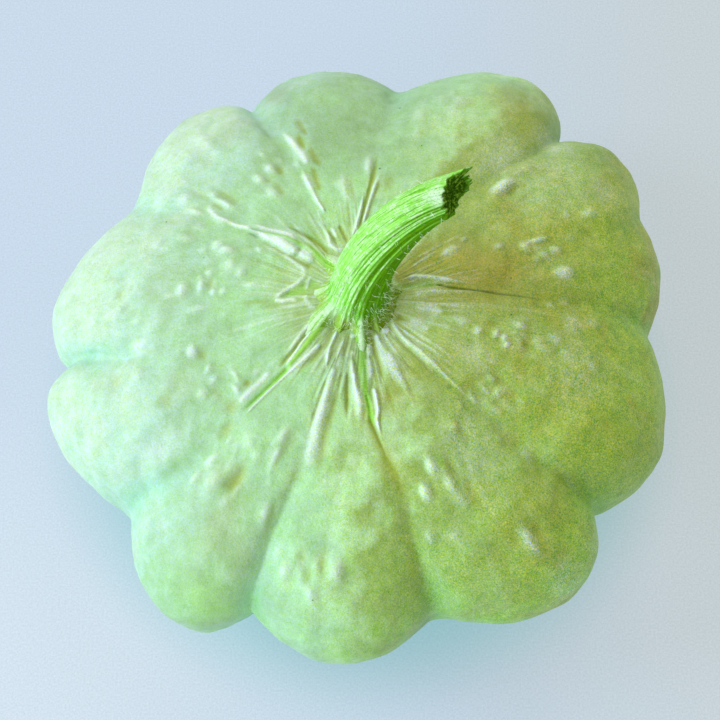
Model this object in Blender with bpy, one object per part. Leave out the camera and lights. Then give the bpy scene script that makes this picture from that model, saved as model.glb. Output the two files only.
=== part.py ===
"""Pattypan squash, as picked: a scalloped fruit and its cut stem.

Standalone Blender 4.5 script, in metres with +Z up. The fruit stands on its blossom end: the middle of
that flat patch is the origin, and bearings run anticlockwise from +X seen from above.
"""

import math
from collections import namedtuple

import bmesh
import bpy
from mathutils import Vector

# Heights of the fruit. The widest level lies between the low crown and the deeper bowl under it.
WIDEST_LEVEL = 0.0300
CROWN_RISE = 0.0285
BOWL_DROP = 0.0312  # a little over the widest level's height, so the resting face is flat
SEAT_DIP = 0.0015  # how far the crown sinks in around the stem
SEAT_DIP_SPAN = (0.009, 0.022)  # plan radii of the dip's flat floor and of its edge
SEAT_LEVEL = WIDEST_LEVEL + CROWN_RISE - SEAT_DIP

# How the lobes swell.
MEAN_REACH = 0.0625  # plan radius that the lobes fade into towards both poles
CROWN_FULLNESS = 0.88  # under 1 is fuller than an ellipse where the crown turns into the rim
BOWL_FULLNESS = 0.95
SCALLOP_ROUNDNESS = 0.70  # under 1 gives round lobes with tight furrows between them
POLE_SCALLOP = 0.25  # share of the scalloping that is left next to the poles
SCALLOP_FADE = (0.15, 0.90)  # shares of the reach between which the scalloping grows to its full depth

# One row for each lobe: the furrow that starts it, the reach there and at its crest, and how far across
# the lobe its crest sits.
Lobe = namedtuple("Lobe", "furrow_bearing furrow_reach crest_reach crest_place")
LOBES = (
    Lobe(2.0, 0.0605, 0.0665, 0.69),
    Lobe(25.5, 0.0670, 0.0715, 0.52),
    Lobe(47.5, 0.0645, 0.0735, 0.32),
    Lobe(82.0, 0.0610, 0.0660, 0.53),
    Lobe(113.5, 0.0600, 0.0660, 0.31),
    Lobe(148.5, 0.0585, 0.0650, 0.69),
    Lobe(184.0, 0.0600, 0.0660, 0.33),
    Lobe(218.0, 0.0595, 0.0690, 0.58),
    Lobe(249.0, 0.0600, 0.0665, 0.48),
    Lobe(284.0, 0.0595, 0.0680, 0.63),
    Lobe(323.0, 0.0595, 0.0660, 0.42),
)
SEGMENTS_PER_LOBE = 11
RINGS = 32

# The stem: an upright foot on the seat, then a cubic Bezier centreline, ribbed and flared at the foot.
STEM_GAP = 0.0003  # keeps the foot clear of the seat
STEM_FOOT = 0.0012
STEM_LINE = (
    Vector((0.0, 0.0, SEAT_LEVEL + STEM_GAP + STEM_FOOT)),
    Vector((0.0, 0.0, SEAT_LEVEL + 0.0135)),
    Vector((0.0062, 0.0070, SEAT_LEVEL + 0.0230)),
    Vector((0.0179, 0.0090, SEAT_LEVEL + 0.0283)),
)
STEM_RADIUS = 0.0053
FOOT_GIRTH = 1.62
STEM_GIRTHS = ((0.0, 1.50), (0.05, 1.32), (0.15, 1.14), (0.30, 1.03), (0.60, 0.96), (0.85, 0.88), (1.0, 0.82))
STEM_STEPS = 22
STEM_OVERRUN = 0.22  # share of the line by which the raw stem runs on past its cut
RIB_COUNT = 10
RIB_DEPTH = 0.055  # share of the radius
POINTS_PER_RIB = 4
STEM_TWIST = math.radians(28.0)

# The knife's cut slants, so the stem is shorter on its upper side.
CUT_NORMAL = Vector((0.78, 0.06, 0.62)).normalized()
CUT_BLOCK = 0.040


def clear_scene():
    """Removes whatever the open file holds."""
    for old in list(bpy.data.objects):
        bpy.data.objects.remove(old, do_unlink=True)


def make_collection(name):
    """A new collection in the scene."""
    made = bpy.data.collections.new(name)
    bpy.context.scene.collection.children.link(made)
    return made


def make_material(name, colour, roughness):
    """A plain non-metallic finish."""
    made = bpy.data.materials.new(name)
    made.use_nodes = True
    shader = made.node_tree.nodes["Principled BSDF"]
    shader.inputs["Base Color"].default_value = (*colour, 1.0)
    shader.inputs["Roughness"].default_value = roughness
    shader.inputs["Metallic"].default_value = 0.0
    return made


def smooth_step(value, low, high):
    """0 below low, 1 above high, and an easy curve between."""
    share = min(max((value - low) / (high - low), 0.0), 1.0)
    return share * share * (3.0 - 2.0 * share)


def lobe_reach(lobe, following, across):
    """Plan radius of the rim inside one lobe, at a share of the way across it."""
    furrow = lobe.furrow_reach
    furrow += (following.furrow_reach - furrow) * smooth_step(across, 0.0, 1.0)
    stretch = lobe.crest_place / (1.0 - lobe.crest_place)
    halfway_at_crest = across / (across + (1.0 - across) * stretch)
    swell = max(math.sin(math.pi * halfway_at_crest), 0.0) ** SCALLOP_ROUNDNESS
    return furrow + (lobe.crest_reach - furrow) * swell


def fruit_point(turn, latitude):
    """A point of the fruit's skin.

    turn counts lobes round the fruit, so its whole part picks the lobe and its fraction the place across
    it. latitude runs from a quarter turn at the stem, over 0 at the widest level, to minus a quarter turn.
    """
    index = int(turn) % len(LOBES)
    across = turn - int(turn)
    lobe, following = LOBES[index], LOBES[(index + 1) % len(LOBES)]
    width = (following.furrow_bearing - lobe.furrow_bearing) % 360.0
    bearing = math.radians(lobe.furrow_bearing + width * across)

    crown = latitude > 0.0
    share = max(math.cos(latitude), 0.0) ** (CROWN_FULLNESS if crown else BOWL_FULLNESS)
    scallop = POLE_SCALLOP + (1.0 - POLE_SCALLOP) * smooth_step(share, *SCALLOP_FADE)
    radius = share * (MEAN_REACH + (lobe_reach(lobe, following, across) - MEAN_REACH) * scallop)
    height = WIDEST_LEVEL + (CROWN_RISE if crown else BOWL_DROP) * math.sin(latitude)
    if crown:
        height -= SEAT_DIP * (1.0 - smooth_step(radius, *SEAT_DIP_SPAN))
    return Vector((radius * math.cos(bearing), radius * math.sin(bearing), max(height, 0.0)))


def build_fruit(collection, material):
    """The fruit: a sphere whose every vertex moves out to the lobed skin, with flat poles."""
    shape = bmesh.new()
    segments = SEGMENTS_PER_LOBE * len(LOBES)
    bmesh.ops.create_uvsphere(shape, u_segments=segments, v_segments=RINGS, radius=1.0)
    pole_ring = math.pi / 2.0 - math.pi / RINGS
    for vertex in shape.verts:
        spot = vertex.co.copy()
        latitude = math.asin(max(-1.0, min(1.0, spot.z)))
        segment = round((math.atan2(spot.y, spot.x) % math.tau) / math.tau * segments)
        vertex.co = fruit_point((segment % segments) / SEGMENTS_PER_LOBE, latitude)
        if latitude > pole_ring - 1e-4:
            vertex.co.z = SEAT_LEVEL
    mesh = bpy.data.meshes.new("fruit")
    shape.to_mesh(mesh)
    shape.free()
    mesh.shade_smooth()
    mesh.materials.append(material)
    fruit = bpy.data.objects.new("fruit", mesh)
    collection.objects.link(fruit)
    return fruit


def stem_place(along):
    """A point of the stem's centreline. Past 1 it runs on straight, along the last tangent."""
    start, leave, arrive, end = STEM_LINE
    if along > 1.0:
        return end + (end - arrive) * 3.0 * (along - 1.0)
    rest = 1.0 - along
    place = start * rest**3 + leave * 3.0 * rest**2 * along
    return place + arrive * 3.0 * rest * along**2 + end * along**3


def stem_stations():
    """The sweep's stations, from the seat up: each a place, a girth and a twist."""
    yield STEM_LINE[0] - Vector((0.0, 0.0, STEM_FOOT)), FOOT_GIRTH, 0.0
    for step in range(STEM_STEPS):
        along = (1.0 + STEM_OVERRUN) * step / (STEM_STEPS - 1)
        yield stem_place(along), stem_girth(along), STEM_TWIST * along


def stem_girth(along):
    """Girth of the stem as a factor of STEM_RADIUS."""
    for (low, before), (high, after) in zip(STEM_GIRTHS, STEM_GIRTHS[1:]):
        if along <= high:
            return before + (after - before) * (along - low) / (high - low)
    return STEM_GIRTHS[-1][1]


def build_rib_profile(collection):
    """The stem's ribbed cross-section, a closed outline that the centreline carries along."""
    count = RIB_COUNT * POINTS_PER_RIB
    outline = bpy.data.curves.new("stem_section", "CURVE")
    spline = outline.splines.new("POLY")
    spline.points.add(count - 1)
    spline.use_cyclic_u = True
    for index, point in enumerate(spline.points):
        angle = math.tau * index / count
        radius = STEM_RADIUS * (1.0 + RIB_DEPTH * math.cos(RIB_COUNT * angle))
        point.co = (radius * math.cos(angle), radius * math.sin(angle), 0.0, 1.0)
    section = bpy.data.objects.new("stem_section", outline)
    section.hide_render = True
    section.display_type = "WIRE"
    collection.objects.link(section)
    return section


def build_stem(collection, helpers, material):
    """The stem: the section swept up the centreline, made a mesh, and cut off at a slant."""
    line = bpy.data.curves.new("stem_line", "CURVE")
    line.dimensions = "3D"
    line.bevel_mode = "OBJECT"
    line.bevel_object = build_rib_profile(helpers)
    line.use_fill_caps = True
    line.twist_mode = "MINIMUM"
    spline = line.splines.new("POLY")
    spline.points.add(STEM_STEPS)
    for point, (place, girth, twist) in zip(spline.points, stem_stations()):
        point.co = (*place, 1.0)
        point.radius = girth
        point.tilt = twist
    swept = bpy.data.objects.new("stem_line", line)
    helpers.objects.link(swept)

    bpy.context.view_layer.update()
    graph = bpy.context.evaluated_depsgraph_get()
    mesh = bpy.data.meshes.new_from_object(swept.evaluated_get(graph))
    mesh.name = "stem"
    shape = bmesh.new()
    shape.from_mesh(mesh)
    bmesh.ops.remove_doubles(shape, verts=shape.verts, dist=1e-6)
    bmesh.ops.recalc_face_normals(shape, faces=shape.faces)
    shape.to_mesh(mesh)
    shape.free()
    mesh.shade_smooth()
    mesh.set_sharp_from_angle(angle=math.radians(50.0))
    mesh.materials.clear()
    mesh.materials.append(material)
    stem = bpy.data.objects.new("stem", mesh)
    stem.matrix_world = swept.matrix_world
    collection.objects.link(stem)
    bpy.data.objects.remove(swept, do_unlink=True)

    cut = stem.modifiers.new("knife_cut", "BOOLEAN")
    cut.operation = "DIFFERENCE"
    cut.object = build_knife(helpers)
    return stem


def build_knife(collection):
    """A block whose near face is the plane that the knife took."""
    shape = bmesh.new()
    bmesh.ops.create_cube(shape, size=CUT_BLOCK)
    mesh = bpy.data.meshes.new("knife")
    shape.to_mesh(mesh)
    shape.free()
    knife = bpy.data.objects.new("knife", mesh)
    knife.location = STEM_LINE[-1] + CUT_NORMAL * CUT_BLOCK / 2.0
    knife.rotation_mode = "QUATERNION"
    knife.rotation_quaternion = CUT_NORMAL.to_track_quat("Z", "Y")
    knife.hide_render = True
    knife.display_type = "WIRE"
    collection.objects.link(knife)
    return knife


def main():
    """Builds the two pieces."""
    clear_scene()
    squash = make_collection("pattypan_squash")
    helpers = make_collection("cutters_and_guides")
    build_fruit(squash, make_material("skin", (0.52, 0.66, 0.36), 0.45))
    build_stem(squash, helpers, make_material("stem_green", (0.20, 0.50, 0.07), 0.55))


main()
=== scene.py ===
"""Looks of a pattypan squash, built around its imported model.

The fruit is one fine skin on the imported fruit's own rule, with furrows, pleats, warts and a blossom scar.
The stem is a ribbed sweep that geometry nodes make, rooted in the furrows and torn where it was cut.
Metres throughout, +Z up. Bearings are degrees anticlockwise from +X, seen from above.
"""

import logging
import math
from dataclasses import dataclass
from enum import Enum
from typing import Dict, List, Optional, Sequence, Tuple, Union

import bmesh
import bpy
import numpy as np
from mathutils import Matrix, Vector


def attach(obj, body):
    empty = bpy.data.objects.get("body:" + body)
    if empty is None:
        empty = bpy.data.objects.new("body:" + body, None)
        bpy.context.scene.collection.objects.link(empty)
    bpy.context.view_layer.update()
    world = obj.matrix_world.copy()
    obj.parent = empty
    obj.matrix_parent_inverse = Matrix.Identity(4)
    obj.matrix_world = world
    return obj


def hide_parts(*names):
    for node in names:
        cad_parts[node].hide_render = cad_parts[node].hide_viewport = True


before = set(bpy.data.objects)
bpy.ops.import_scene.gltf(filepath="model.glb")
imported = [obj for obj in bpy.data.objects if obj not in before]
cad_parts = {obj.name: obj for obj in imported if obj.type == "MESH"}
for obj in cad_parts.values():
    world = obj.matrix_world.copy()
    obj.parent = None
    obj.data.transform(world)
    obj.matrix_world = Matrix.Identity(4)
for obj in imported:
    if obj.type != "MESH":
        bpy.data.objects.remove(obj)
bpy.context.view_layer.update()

BODY = "root"
MM = 0.001
MM_PER_METRE = 1000.0
WHITE = (1.0, 1.0, 1.0)
Colour = Tuple[float, float, float]
Point = Tuple[float, float, float]
Pair = Tuple[float, float]
log = logging.getLogger("pattypan")


# ------------ Small helpers ------------


def shade(red: int, green: int, blue: int) -> Colour:
    """A colour given by its screen values from 0 to 255, as the linear values that shaders take."""
    shares = (channel / 255.0 for channel in (red, green, blue))
    return tuple(s / 12.92 if s <= 0.04045 else ((s + 0.055) / 1.055) ** 2.4 for s in shares)


def smooth_step(value: np.ndarray, low: float, high: float) -> np.ndarray:
    """0 below low, 1 above high, and an easy curve between."""
    share = np.clip((value - low) / (high - low), 0.0, 1.0)
    return share * share * (3.0 - 2.0 * share)


def turn_between(bearing: np.ndarray, other: Union[float, np.ndarray]) -> np.ndarray:
    """Signed turn from other to bearing, in degrees, from -180 to 180."""
    return (bearing - other + 180.0) % 360.0 - 180.0


def link(name: str, data: bpy.types.ID) -> bpy.types.Object:
    """Puts data into the scene as an object.

    Args:
        name: the object's name.
        data: its mesh, curve, light or camera.

    Returns:
        The object.
    """
    made = bpy.data.objects.new(name, data)
    bpy.context.scene.collection.objects.link(made)
    return made


def vertex_values(mesh: bpy.types.Mesh, kind: str) -> np.ndarray:
    """Reads one vector of every vertex.

    Args:
        mesh: the mesh.
        kind: what to read: "co" for places or "normal" for outward directions.

    Returns:
        One vector in each row.
    """
    values = np.zeros(len(mesh.vertices) * 3)
    mesh.vertices.foreach_get(kind, values)
    return values.reshape(-1, 3)


def carry(mesh: bpy.types.Mesh, name: str, values: np.ndarray) -> None:
    """Makes a mesh carry a number at each vertex, for its material to read."""
    carried = mesh.attributes.new(name, "FLOAT", "POINT")
    carried.data.foreach_set("value", values.astype(np.float32))


@dataclass(frozen=True)
class Swells:
    """A smooth random field in space: a sum of plane waves of about one wavelength."""

    wavelength: float
    seed: int
    waves: int = 26

    def at(self, places: np.ndarray) -> np.ndarray:
        """The field's values at points, mostly between -1 and 1.

        Args:
            places: points in metres, one in each row.

        Returns:
            One value for each point.
        """
        draw = np.random.default_rng(self.seed)
        directions = draw.normal(size=(self.waves, 3))
        directions /= np.linalg.norm(directions, axis=1, keepdims=True)
        lengths = self.wavelength * draw.uniform(0.7, 1.5, self.waves)
        phases = draw.uniform(0.0, math.tau, self.waves)
        angles = places @ (directions * (math.tau / lengths)[:, None]).T + phases
        return np.cos(angles).sum(axis=1) / math.sqrt(self.waves * 2.0)


# ------------ Node trees written as expressions ------------


class Term:
    """A node's output that takes part in arithmetic, which adds Math or Vector Math nodes."""

    def __init__(self, tree: "Tree", socket: bpy.types.NodeSocket) -> None:
        """Wraps a socket of a tree."""
        self.tree = tree
        self.socket = socket

    def combine(self, operation: str, first: "Operand", second: "Operand") -> "Term":
        """One operation on two operands, as a new node of the kind that their types need.

        Args:
            operation: the Math or Vector Math operation.
            first: the left operand.
            second: the right operand.

        Returns:
            The new node's output.
        """
        vectors = [end for end in (first, second) if is_vector(end)]
        if not vectors:
            return self.tree.term("ShaderNodeMath", {"operation": operation}, {0: first, 1: second})
        if operation == "MULTIPLY" and len(vectors) == 1:
            scale = second if is_vector(first) else first
            return self.tree.term(
                "ShaderNodeVectorMath", {"operation": "SCALE"}, {0: vectors[0], "Scale": scale}
            )
        return self.tree.term("ShaderNodeVectorMath", {"operation": operation}, {0: first, 1: second})

    def __add__(self, other: "Operand") -> "Term":
        """Sum."""
        return self.combine("ADD", self, other)

    def __radd__(self, other: "Operand") -> "Term":
        """Sum."""
        return self.combine("ADD", other, self)

    def __sub__(self, other: "Operand") -> "Term":
        """Difference."""
        return self.combine("SUBTRACT", self, other)

    def __rsub__(self, other: "Operand") -> "Term":
        """Difference, the other way round."""
        return self.combine("SUBTRACT", other, self)

    def __mul__(self, other: "Operand") -> "Term":
        """Product, or a vector scaled by a number."""
        return self.combine("MULTIPLY", self, other)

    def __rmul__(self, other: "Operand") -> "Term":
        """Product, or a vector scaled by a number."""
        return self.combine("MULTIPLY", other, self)

    def __truediv__(self, other: "Operand") -> "Term":
        """Quotient."""
        return self.combine("DIVIDE", self, other)

    def __gt__(self, other: "Operand") -> "Term":
        """1 where this is the larger, else 0."""
        return self.combine("GREATER_THAN", self, other)

    def most(self, other: "Operand") -> "Term":
        """The larger of the two."""
        return self.combine("MAXIMUM", self, other)

    def cosine(self) -> "Term":
        """Cosine of an angle in radians."""
        return self.tree.term("ShaderNodeMath", {"operation": "COSINE"}, {0: self})

    def dot(self, other: "Operand") -> "Term":
        """Dot product with another vector."""
        return self.tree.term(
            "ShaderNodeVectorMath", {"operation": "DOT_PRODUCT"}, {0: self, 1: other}, "Value"
        )

    def ease(self, low: float, high: float) -> "Term":
        """An easy step from 0 to 1.

        Args:
            low: the value where the step starts; it may be the larger one, for a step down.
            high: the value where the step is whole.

        Returns:
            0 before low, 1 past high, and a smooth curve between.
        """
        return self.tree.term(
            "ShaderNodeMapRange",
            {"interpolation_type": "SMOOTHSTEP"},
            {"Value": self, "From Min": low, "From Max": high, "To Min": 0.0, "To Max": 1.0},
            "Result",
        )


Operand = Union[Term, bpy.types.NodeSocket, float, int, bool, str, Sequence[float], None]


def is_vector(operand: Operand) -> bool:
    """Tells a vector from a number.

    Args:
        operand: a term, or a plain value.

    Returns:
        Whether it is a vector or a colour.
    """
    if isinstance(operand, Term):
        return operand.socket.type in ("VECTOR", "RGBA")
    return isinstance(operand, (tuple, list, Vector))


class Tree:
    """A node tree with one way to add any node."""

    def __init__(self, nodes: bpy.types.NodeTree) -> None:
        """Wraps a node tree."""
        self.nodes = nodes

    def node(self, kind: str, settings: Dict[str, object], inputs: Dict[object, Operand]) -> bpy.types.Node:
        """Adds a node.

        Args:
            kind: the node's type.
            settings: its properties, which are set first; "stops" holds a ramp's places and colours.
            inputs: what its sockets get, by name or place: a term to link, or a plain value.

        Returns:
            The new node.
        """
        made = self.nodes.nodes.new(kind)
        for name, value in settings.items():
            if name == "stops":
                self.set_stops(made, value)
            else:
                setattr(made, name, value)
        for key, value in inputs.items():
            self.feed(made.inputs[key], value)
        return made

    def term(
        self,
        kind: str,
        settings: Dict[str, object],
        inputs: Dict[object, Operand],
        output: Union[int, str] = 0,
    ) -> Term:
        """Adds a node, as node() does, and hands on one output.

        Args:
            kind: the node's type.
            settings: its properties.
            inputs: what its sockets get.
            output: the name or place of the output to hand on.

        Returns:
            That output.
        """
        return Term(self, self.node(kind, settings, inputs).outputs[output])

    def feed(self, socket: bpy.types.NodeSocket, value: Operand) -> None:
        """Links a term to a socket, or sets the socket's own value.

        Args:
            socket: an input socket of this tree.
            value: the term to link, or the plain value.
        """
        if isinstance(value, Term):
            self.nodes.links.new(value.socket, socket)
        elif socket.type == "RGBA":
            socket.default_value = (*value, 1.0)
        else:
            socket.default_value = value

    @staticmethod
    def set_stops(ramp: bpy.types.Node, stops: Sequence[Tuple[float, Colour]]) -> None:
        """Sets a colour ramp's stops.

        Args:
            ramp: the ramp's node.
            stops: the stops' places from 0 to 1, with their colours.
        """
        elements = ramp.color_ramp.elements
        while len(elements) < len(stops):
            elements.new(1.0)
        for element, (place, colour) in zip(elements, stops):
            element.position = place
            element.color = (*colour, 1.0)

    def noise(self, where: Operand, scale: float, detail: float = 2.0, roughness: float = 0.5) -> Term:
        """Smooth noise, mostly between 0.3 and 0.7, at a vector times scale."""
        inputs = {"Vector": where, "Scale": scale, "Detail": detail, "Roughness": roughness}
        return self.term("ShaderNodeTexNoise", {}, inputs, "Fac")

    def split(self, vector: Operand) -> List[Term]:
        """The three parts of a vector."""
        made = self.node("ShaderNodeSeparateXYZ", {}, {0: vector})
        return [Term(self, output) for output in made.outputs]


class FinishTree(Tree):
    """The nodes of a material, around one Principled shader."""

    def __init__(self, name: str) -> None:
        """Makes a new material around the default shader.

        Args:
            name: the material's name.
        """
        self.material = bpy.data.materials.new(name)
        self.material.use_nodes = True
        super().__init__(self.material.node_tree)
        self.shader = self.nodes.nodes["Principled BSDF"]

    def place(self) -> Term:
        """The point on the piece, in metres."""
        return self.term("ShaderNodeTexCoord", {}, {}, "Object")

    def mark(self, name: str) -> Term:
        """A number that the mesh carries at each point."""
        return self.term("ShaderNodeAttribute", {"attribute_name": name}, {}, "Fac")

    def mix(self, first: Operand, second: Operand, share: Operand) -> Term:
        """Mixes two colours.

        Args:
            first: the colour at a share of 0.
            second: the colour at a share of 1.
            share: how much of the second colour there is; it is kept between 0 and 1.

        Returns:
            The mixed colour.
        """
        first_slot, second_slot, colour_output = 6, 7, 2
        return self.term(
            "ShaderNodeMix",
            {"data_type": "RGBA", "clamp_factor": True},
            {0: share, first_slot: first, second_slot: second},
            colour_output,
        )

    def cells(self, where: Operand, scale: float, output: str = "Distance") -> Term:
        """Voronoi cells: the distance to the nearest cell's point, or that cell's random colour."""
        return self.term("ShaderNodeTexVoronoi", {}, {"Vector": where, "Scale": scale}, output)

    def bump(self, height: Term, distance: float, below: Optional[Term] = None) -> Term:
        """A normal tilted by a height pattern, over another one if it is given.

        Args:
            height: the pattern, about 0 to 1.
            distance: the height in metres of a pattern value of 1.
            below: the normal that this relief adds to.

        Returns:
            The tilted normal.
        """
        inputs = {"Height": height, "Distance": distance, "Strength": 1.0}
        if below is not None:
            inputs["Normal"] = below
        return self.term("ShaderNodeBump", {}, inputs, "Normal")

    def paint(self, **sockets: Operand) -> bpy.types.Material:
        """Feeds the shader's sockets.

        Args:
            sockets: terms or plain values, by the socket's name in small letters with _ for a space.

        Returns:
            The material.
        """
        for name, value in sockets.items():
            self.feed(self.shader.inputs[name.replace("_", " ").title()], value)
        return self.material

    def soften(self, weight: float, radius: Colour, scale: float) -> None:
        """Lets light soak in below the surface.

        Args:
            weight: the share of the light that soaks in.
            radius: how far red, green and blue light spread, as shares of scale.
            scale: the depth in metres.
        """
        self.shader.inputs["Subsurface Weight"].default_value = weight
        self.shader.inputs["Subsurface Radius"].default_value = radius
        self.shader.inputs["Subsurface Scale"].default_value = scale


class ShapeTree(Tree):
    """A geometry nodes tree with named inputs, which ends in real geometry of one material."""

    def __init__(self, name: str, inputs: Dict[str, str]) -> None:
        """Makes a tree.

        Args:
            name: the tree's name.
            inputs: the kind of each input, such as Float, Int or Vector, by the input's name.
        """
        group = bpy.data.node_groups.new(name, "GeometryNodeTree")
        super().__init__(group)
        for label, kind in {"Geometry": "Geometry", **inputs, "Material": "Material"}.items():
            group.interface.new_socket(label, in_out="INPUT", socket_type="NodeSocket" + kind)
        group.interface.new_socket("Geometry", in_out="OUTPUT", socket_type="NodeSocketGeometry")
        self.entry = group.nodes.new("NodeGroupInput")

    def given(self, name: str) -> Term:
        """One of the tree's inputs."""
        return Term(self, self.entry.outputs[name])

    def store(self, geometry: Term, name: str, value: Term) -> Term:
        """Stores a value on points.

        Args:
            geometry: the geometry that holds the points.
            name: the stored attribute's name.
            value: a number or a vector for each point.

        Returns:
            The geometry with the attribute.
        """
        kind = "FLOAT_VECTOR" if is_vector(value) else "FLOAT"
        return self.term(
            "GeometryNodeStoreNamedAttribute",
            {"data_type": kind, "domain": "POINT"},
            {"Geometry": geometry, "Name": name, "Value": value},
        )

    def stored(self, name: str, kind: str = "FLOAT") -> Term:
        """A number or vector that points carry by name."""
        return self.term("GeometryNodeInputNamedAttribute", {"data_type": kind}, {"Name": name})

    def position(self) -> Term:
        """Each point's place."""
        return self.term("GeometryNodeInputPosition", {}, {})

    def close(self, geometry: Term) -> None:
        """Ends the tree: instances become real geometry, in the given material.

        Args:
            geometry: what the tree has made.
        """
        real = self.term("GeometryNodeRealizeInstances", {}, {"Geometry": geometry})
        faced = self.term(
            "GeometryNodeSetMaterial", {}, {"Geometry": real, "Material": self.given("Material")}
        )
        exit_node = self.nodes.nodes.new("NodeGroupOutput")
        self.feed(exit_node.inputs[0], faced)

    def make(self, name: str, host: bpy.types.ID, values: Dict[str, object]) -> bpy.types.Mesh:
        """Runs the tree on a mesh or curve.

        Args:
            name: the new mesh's name.
            host: the mesh or curve that goes in as Geometry.
            values: the other inputs, by name.

        Returns:
            The outcome as a plain mesh.
        """
        carrier = link(name + "_host", host)
        modifier = carrier.modifiers.new("make", "NODES")
        modifier.node_group = self.nodes
        for item in self.nodes.interface.items_tree:
            if item.in_out == "INPUT" and item.name in values:
                modifier[item.identifier] = values[item.name]
        bpy.context.view_layer.update()
        graph = bpy.context.evaluated_depsgraph_get()
        mesh = bpy.data.meshes.new_from_object(carrier.evaluated_get(graph), depsgraph=graph)
        mesh.name = name
        carrier.modifiers.remove(modifier)
        bpy.data.objects.remove(carrier, do_unlink=True)
        return mesh


# ------------ The fruit's form ------------


@dataclass(frozen=True)
class Lobe:
    """One lobe, and the furrow that starts it.

    crease is the depth of the narrow groove along that furrow, and bend the degrees by which it strays
    from its rim bearing, at each of BEND_SHARES.
    """

    furrow_bearing: float
    furrow_reach: float
    crest_reach: float
    crest_place: float
    crease: float
    bend: Tuple[float, ...]


BEND_SHARES = (0.12, 0.20, 0.30, 0.45, 0.60, 0.80, 1.00)
LOBES = (
    Lobe(2.0, 0.0605, 0.0665, 0.69, 0.0006, (18.0, 8.0, 3.0, 0.0, -1.0, 0.5, 0.0)),
    Lobe(25.5, 0.0670, 0.0715, 0.52, 0.0001, (0.0, 0.0, -2.0, -4.0, -6.0, -6.0, 0.0)),
    Lobe(47.5, 0.0645, 0.0735, 0.32, 0.0004, (0.0, 0.0, 0.0, -1.0, -1.0, -2.0, 0.0)),
    Lobe(82.0, 0.0610, 0.0660, 0.53, 0.0006, (10.0, 9.0, 6.0, 3.0, 1.0, 0.0, 0.0)),
    Lobe(113.5, 0.0600, 0.0660, 0.31, 0.0006, (-3.0, -2.0, -1.0, 0.0, 0.0, 1.0, 0.0)),
    Lobe(148.5, 0.0585, 0.0650, 0.69, 0.0005, (-22.0, -18.0, -10.0, -2.5, -3.0, 2.0, 0.0)),
    Lobe(184.0, 0.0600, 0.0660, 0.33, 0.0004, (-14.0, -6.0, -3.0, 3.0, 7.0, 7.0, 0.0)),
    Lobe(218.0, 0.0595, 0.0690, 0.58, 0.0005, (-7.0, 2.0, 7.5, 8.0, 9.0, 6.0, 0.0)),
    Lobe(249.0, 0.0600, 0.0665, 0.48, 0.0007, (-3.0, 0.0, 1.5, 2.0, 3.0, 1.0, 0.0)),
    Lobe(284.0, 0.0595, 0.0680, 0.63, 0.0007, (-11.0, -10.0, -9.0, -6.0, -2.5, -1.5, 0.0)),
    Lobe(323.0, 0.0595, 0.0660, 0.42, 0.0005, (-1.0, -6.0, -7.5, -7.5, -6.5, -5.0, 0.0)),
)


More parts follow.
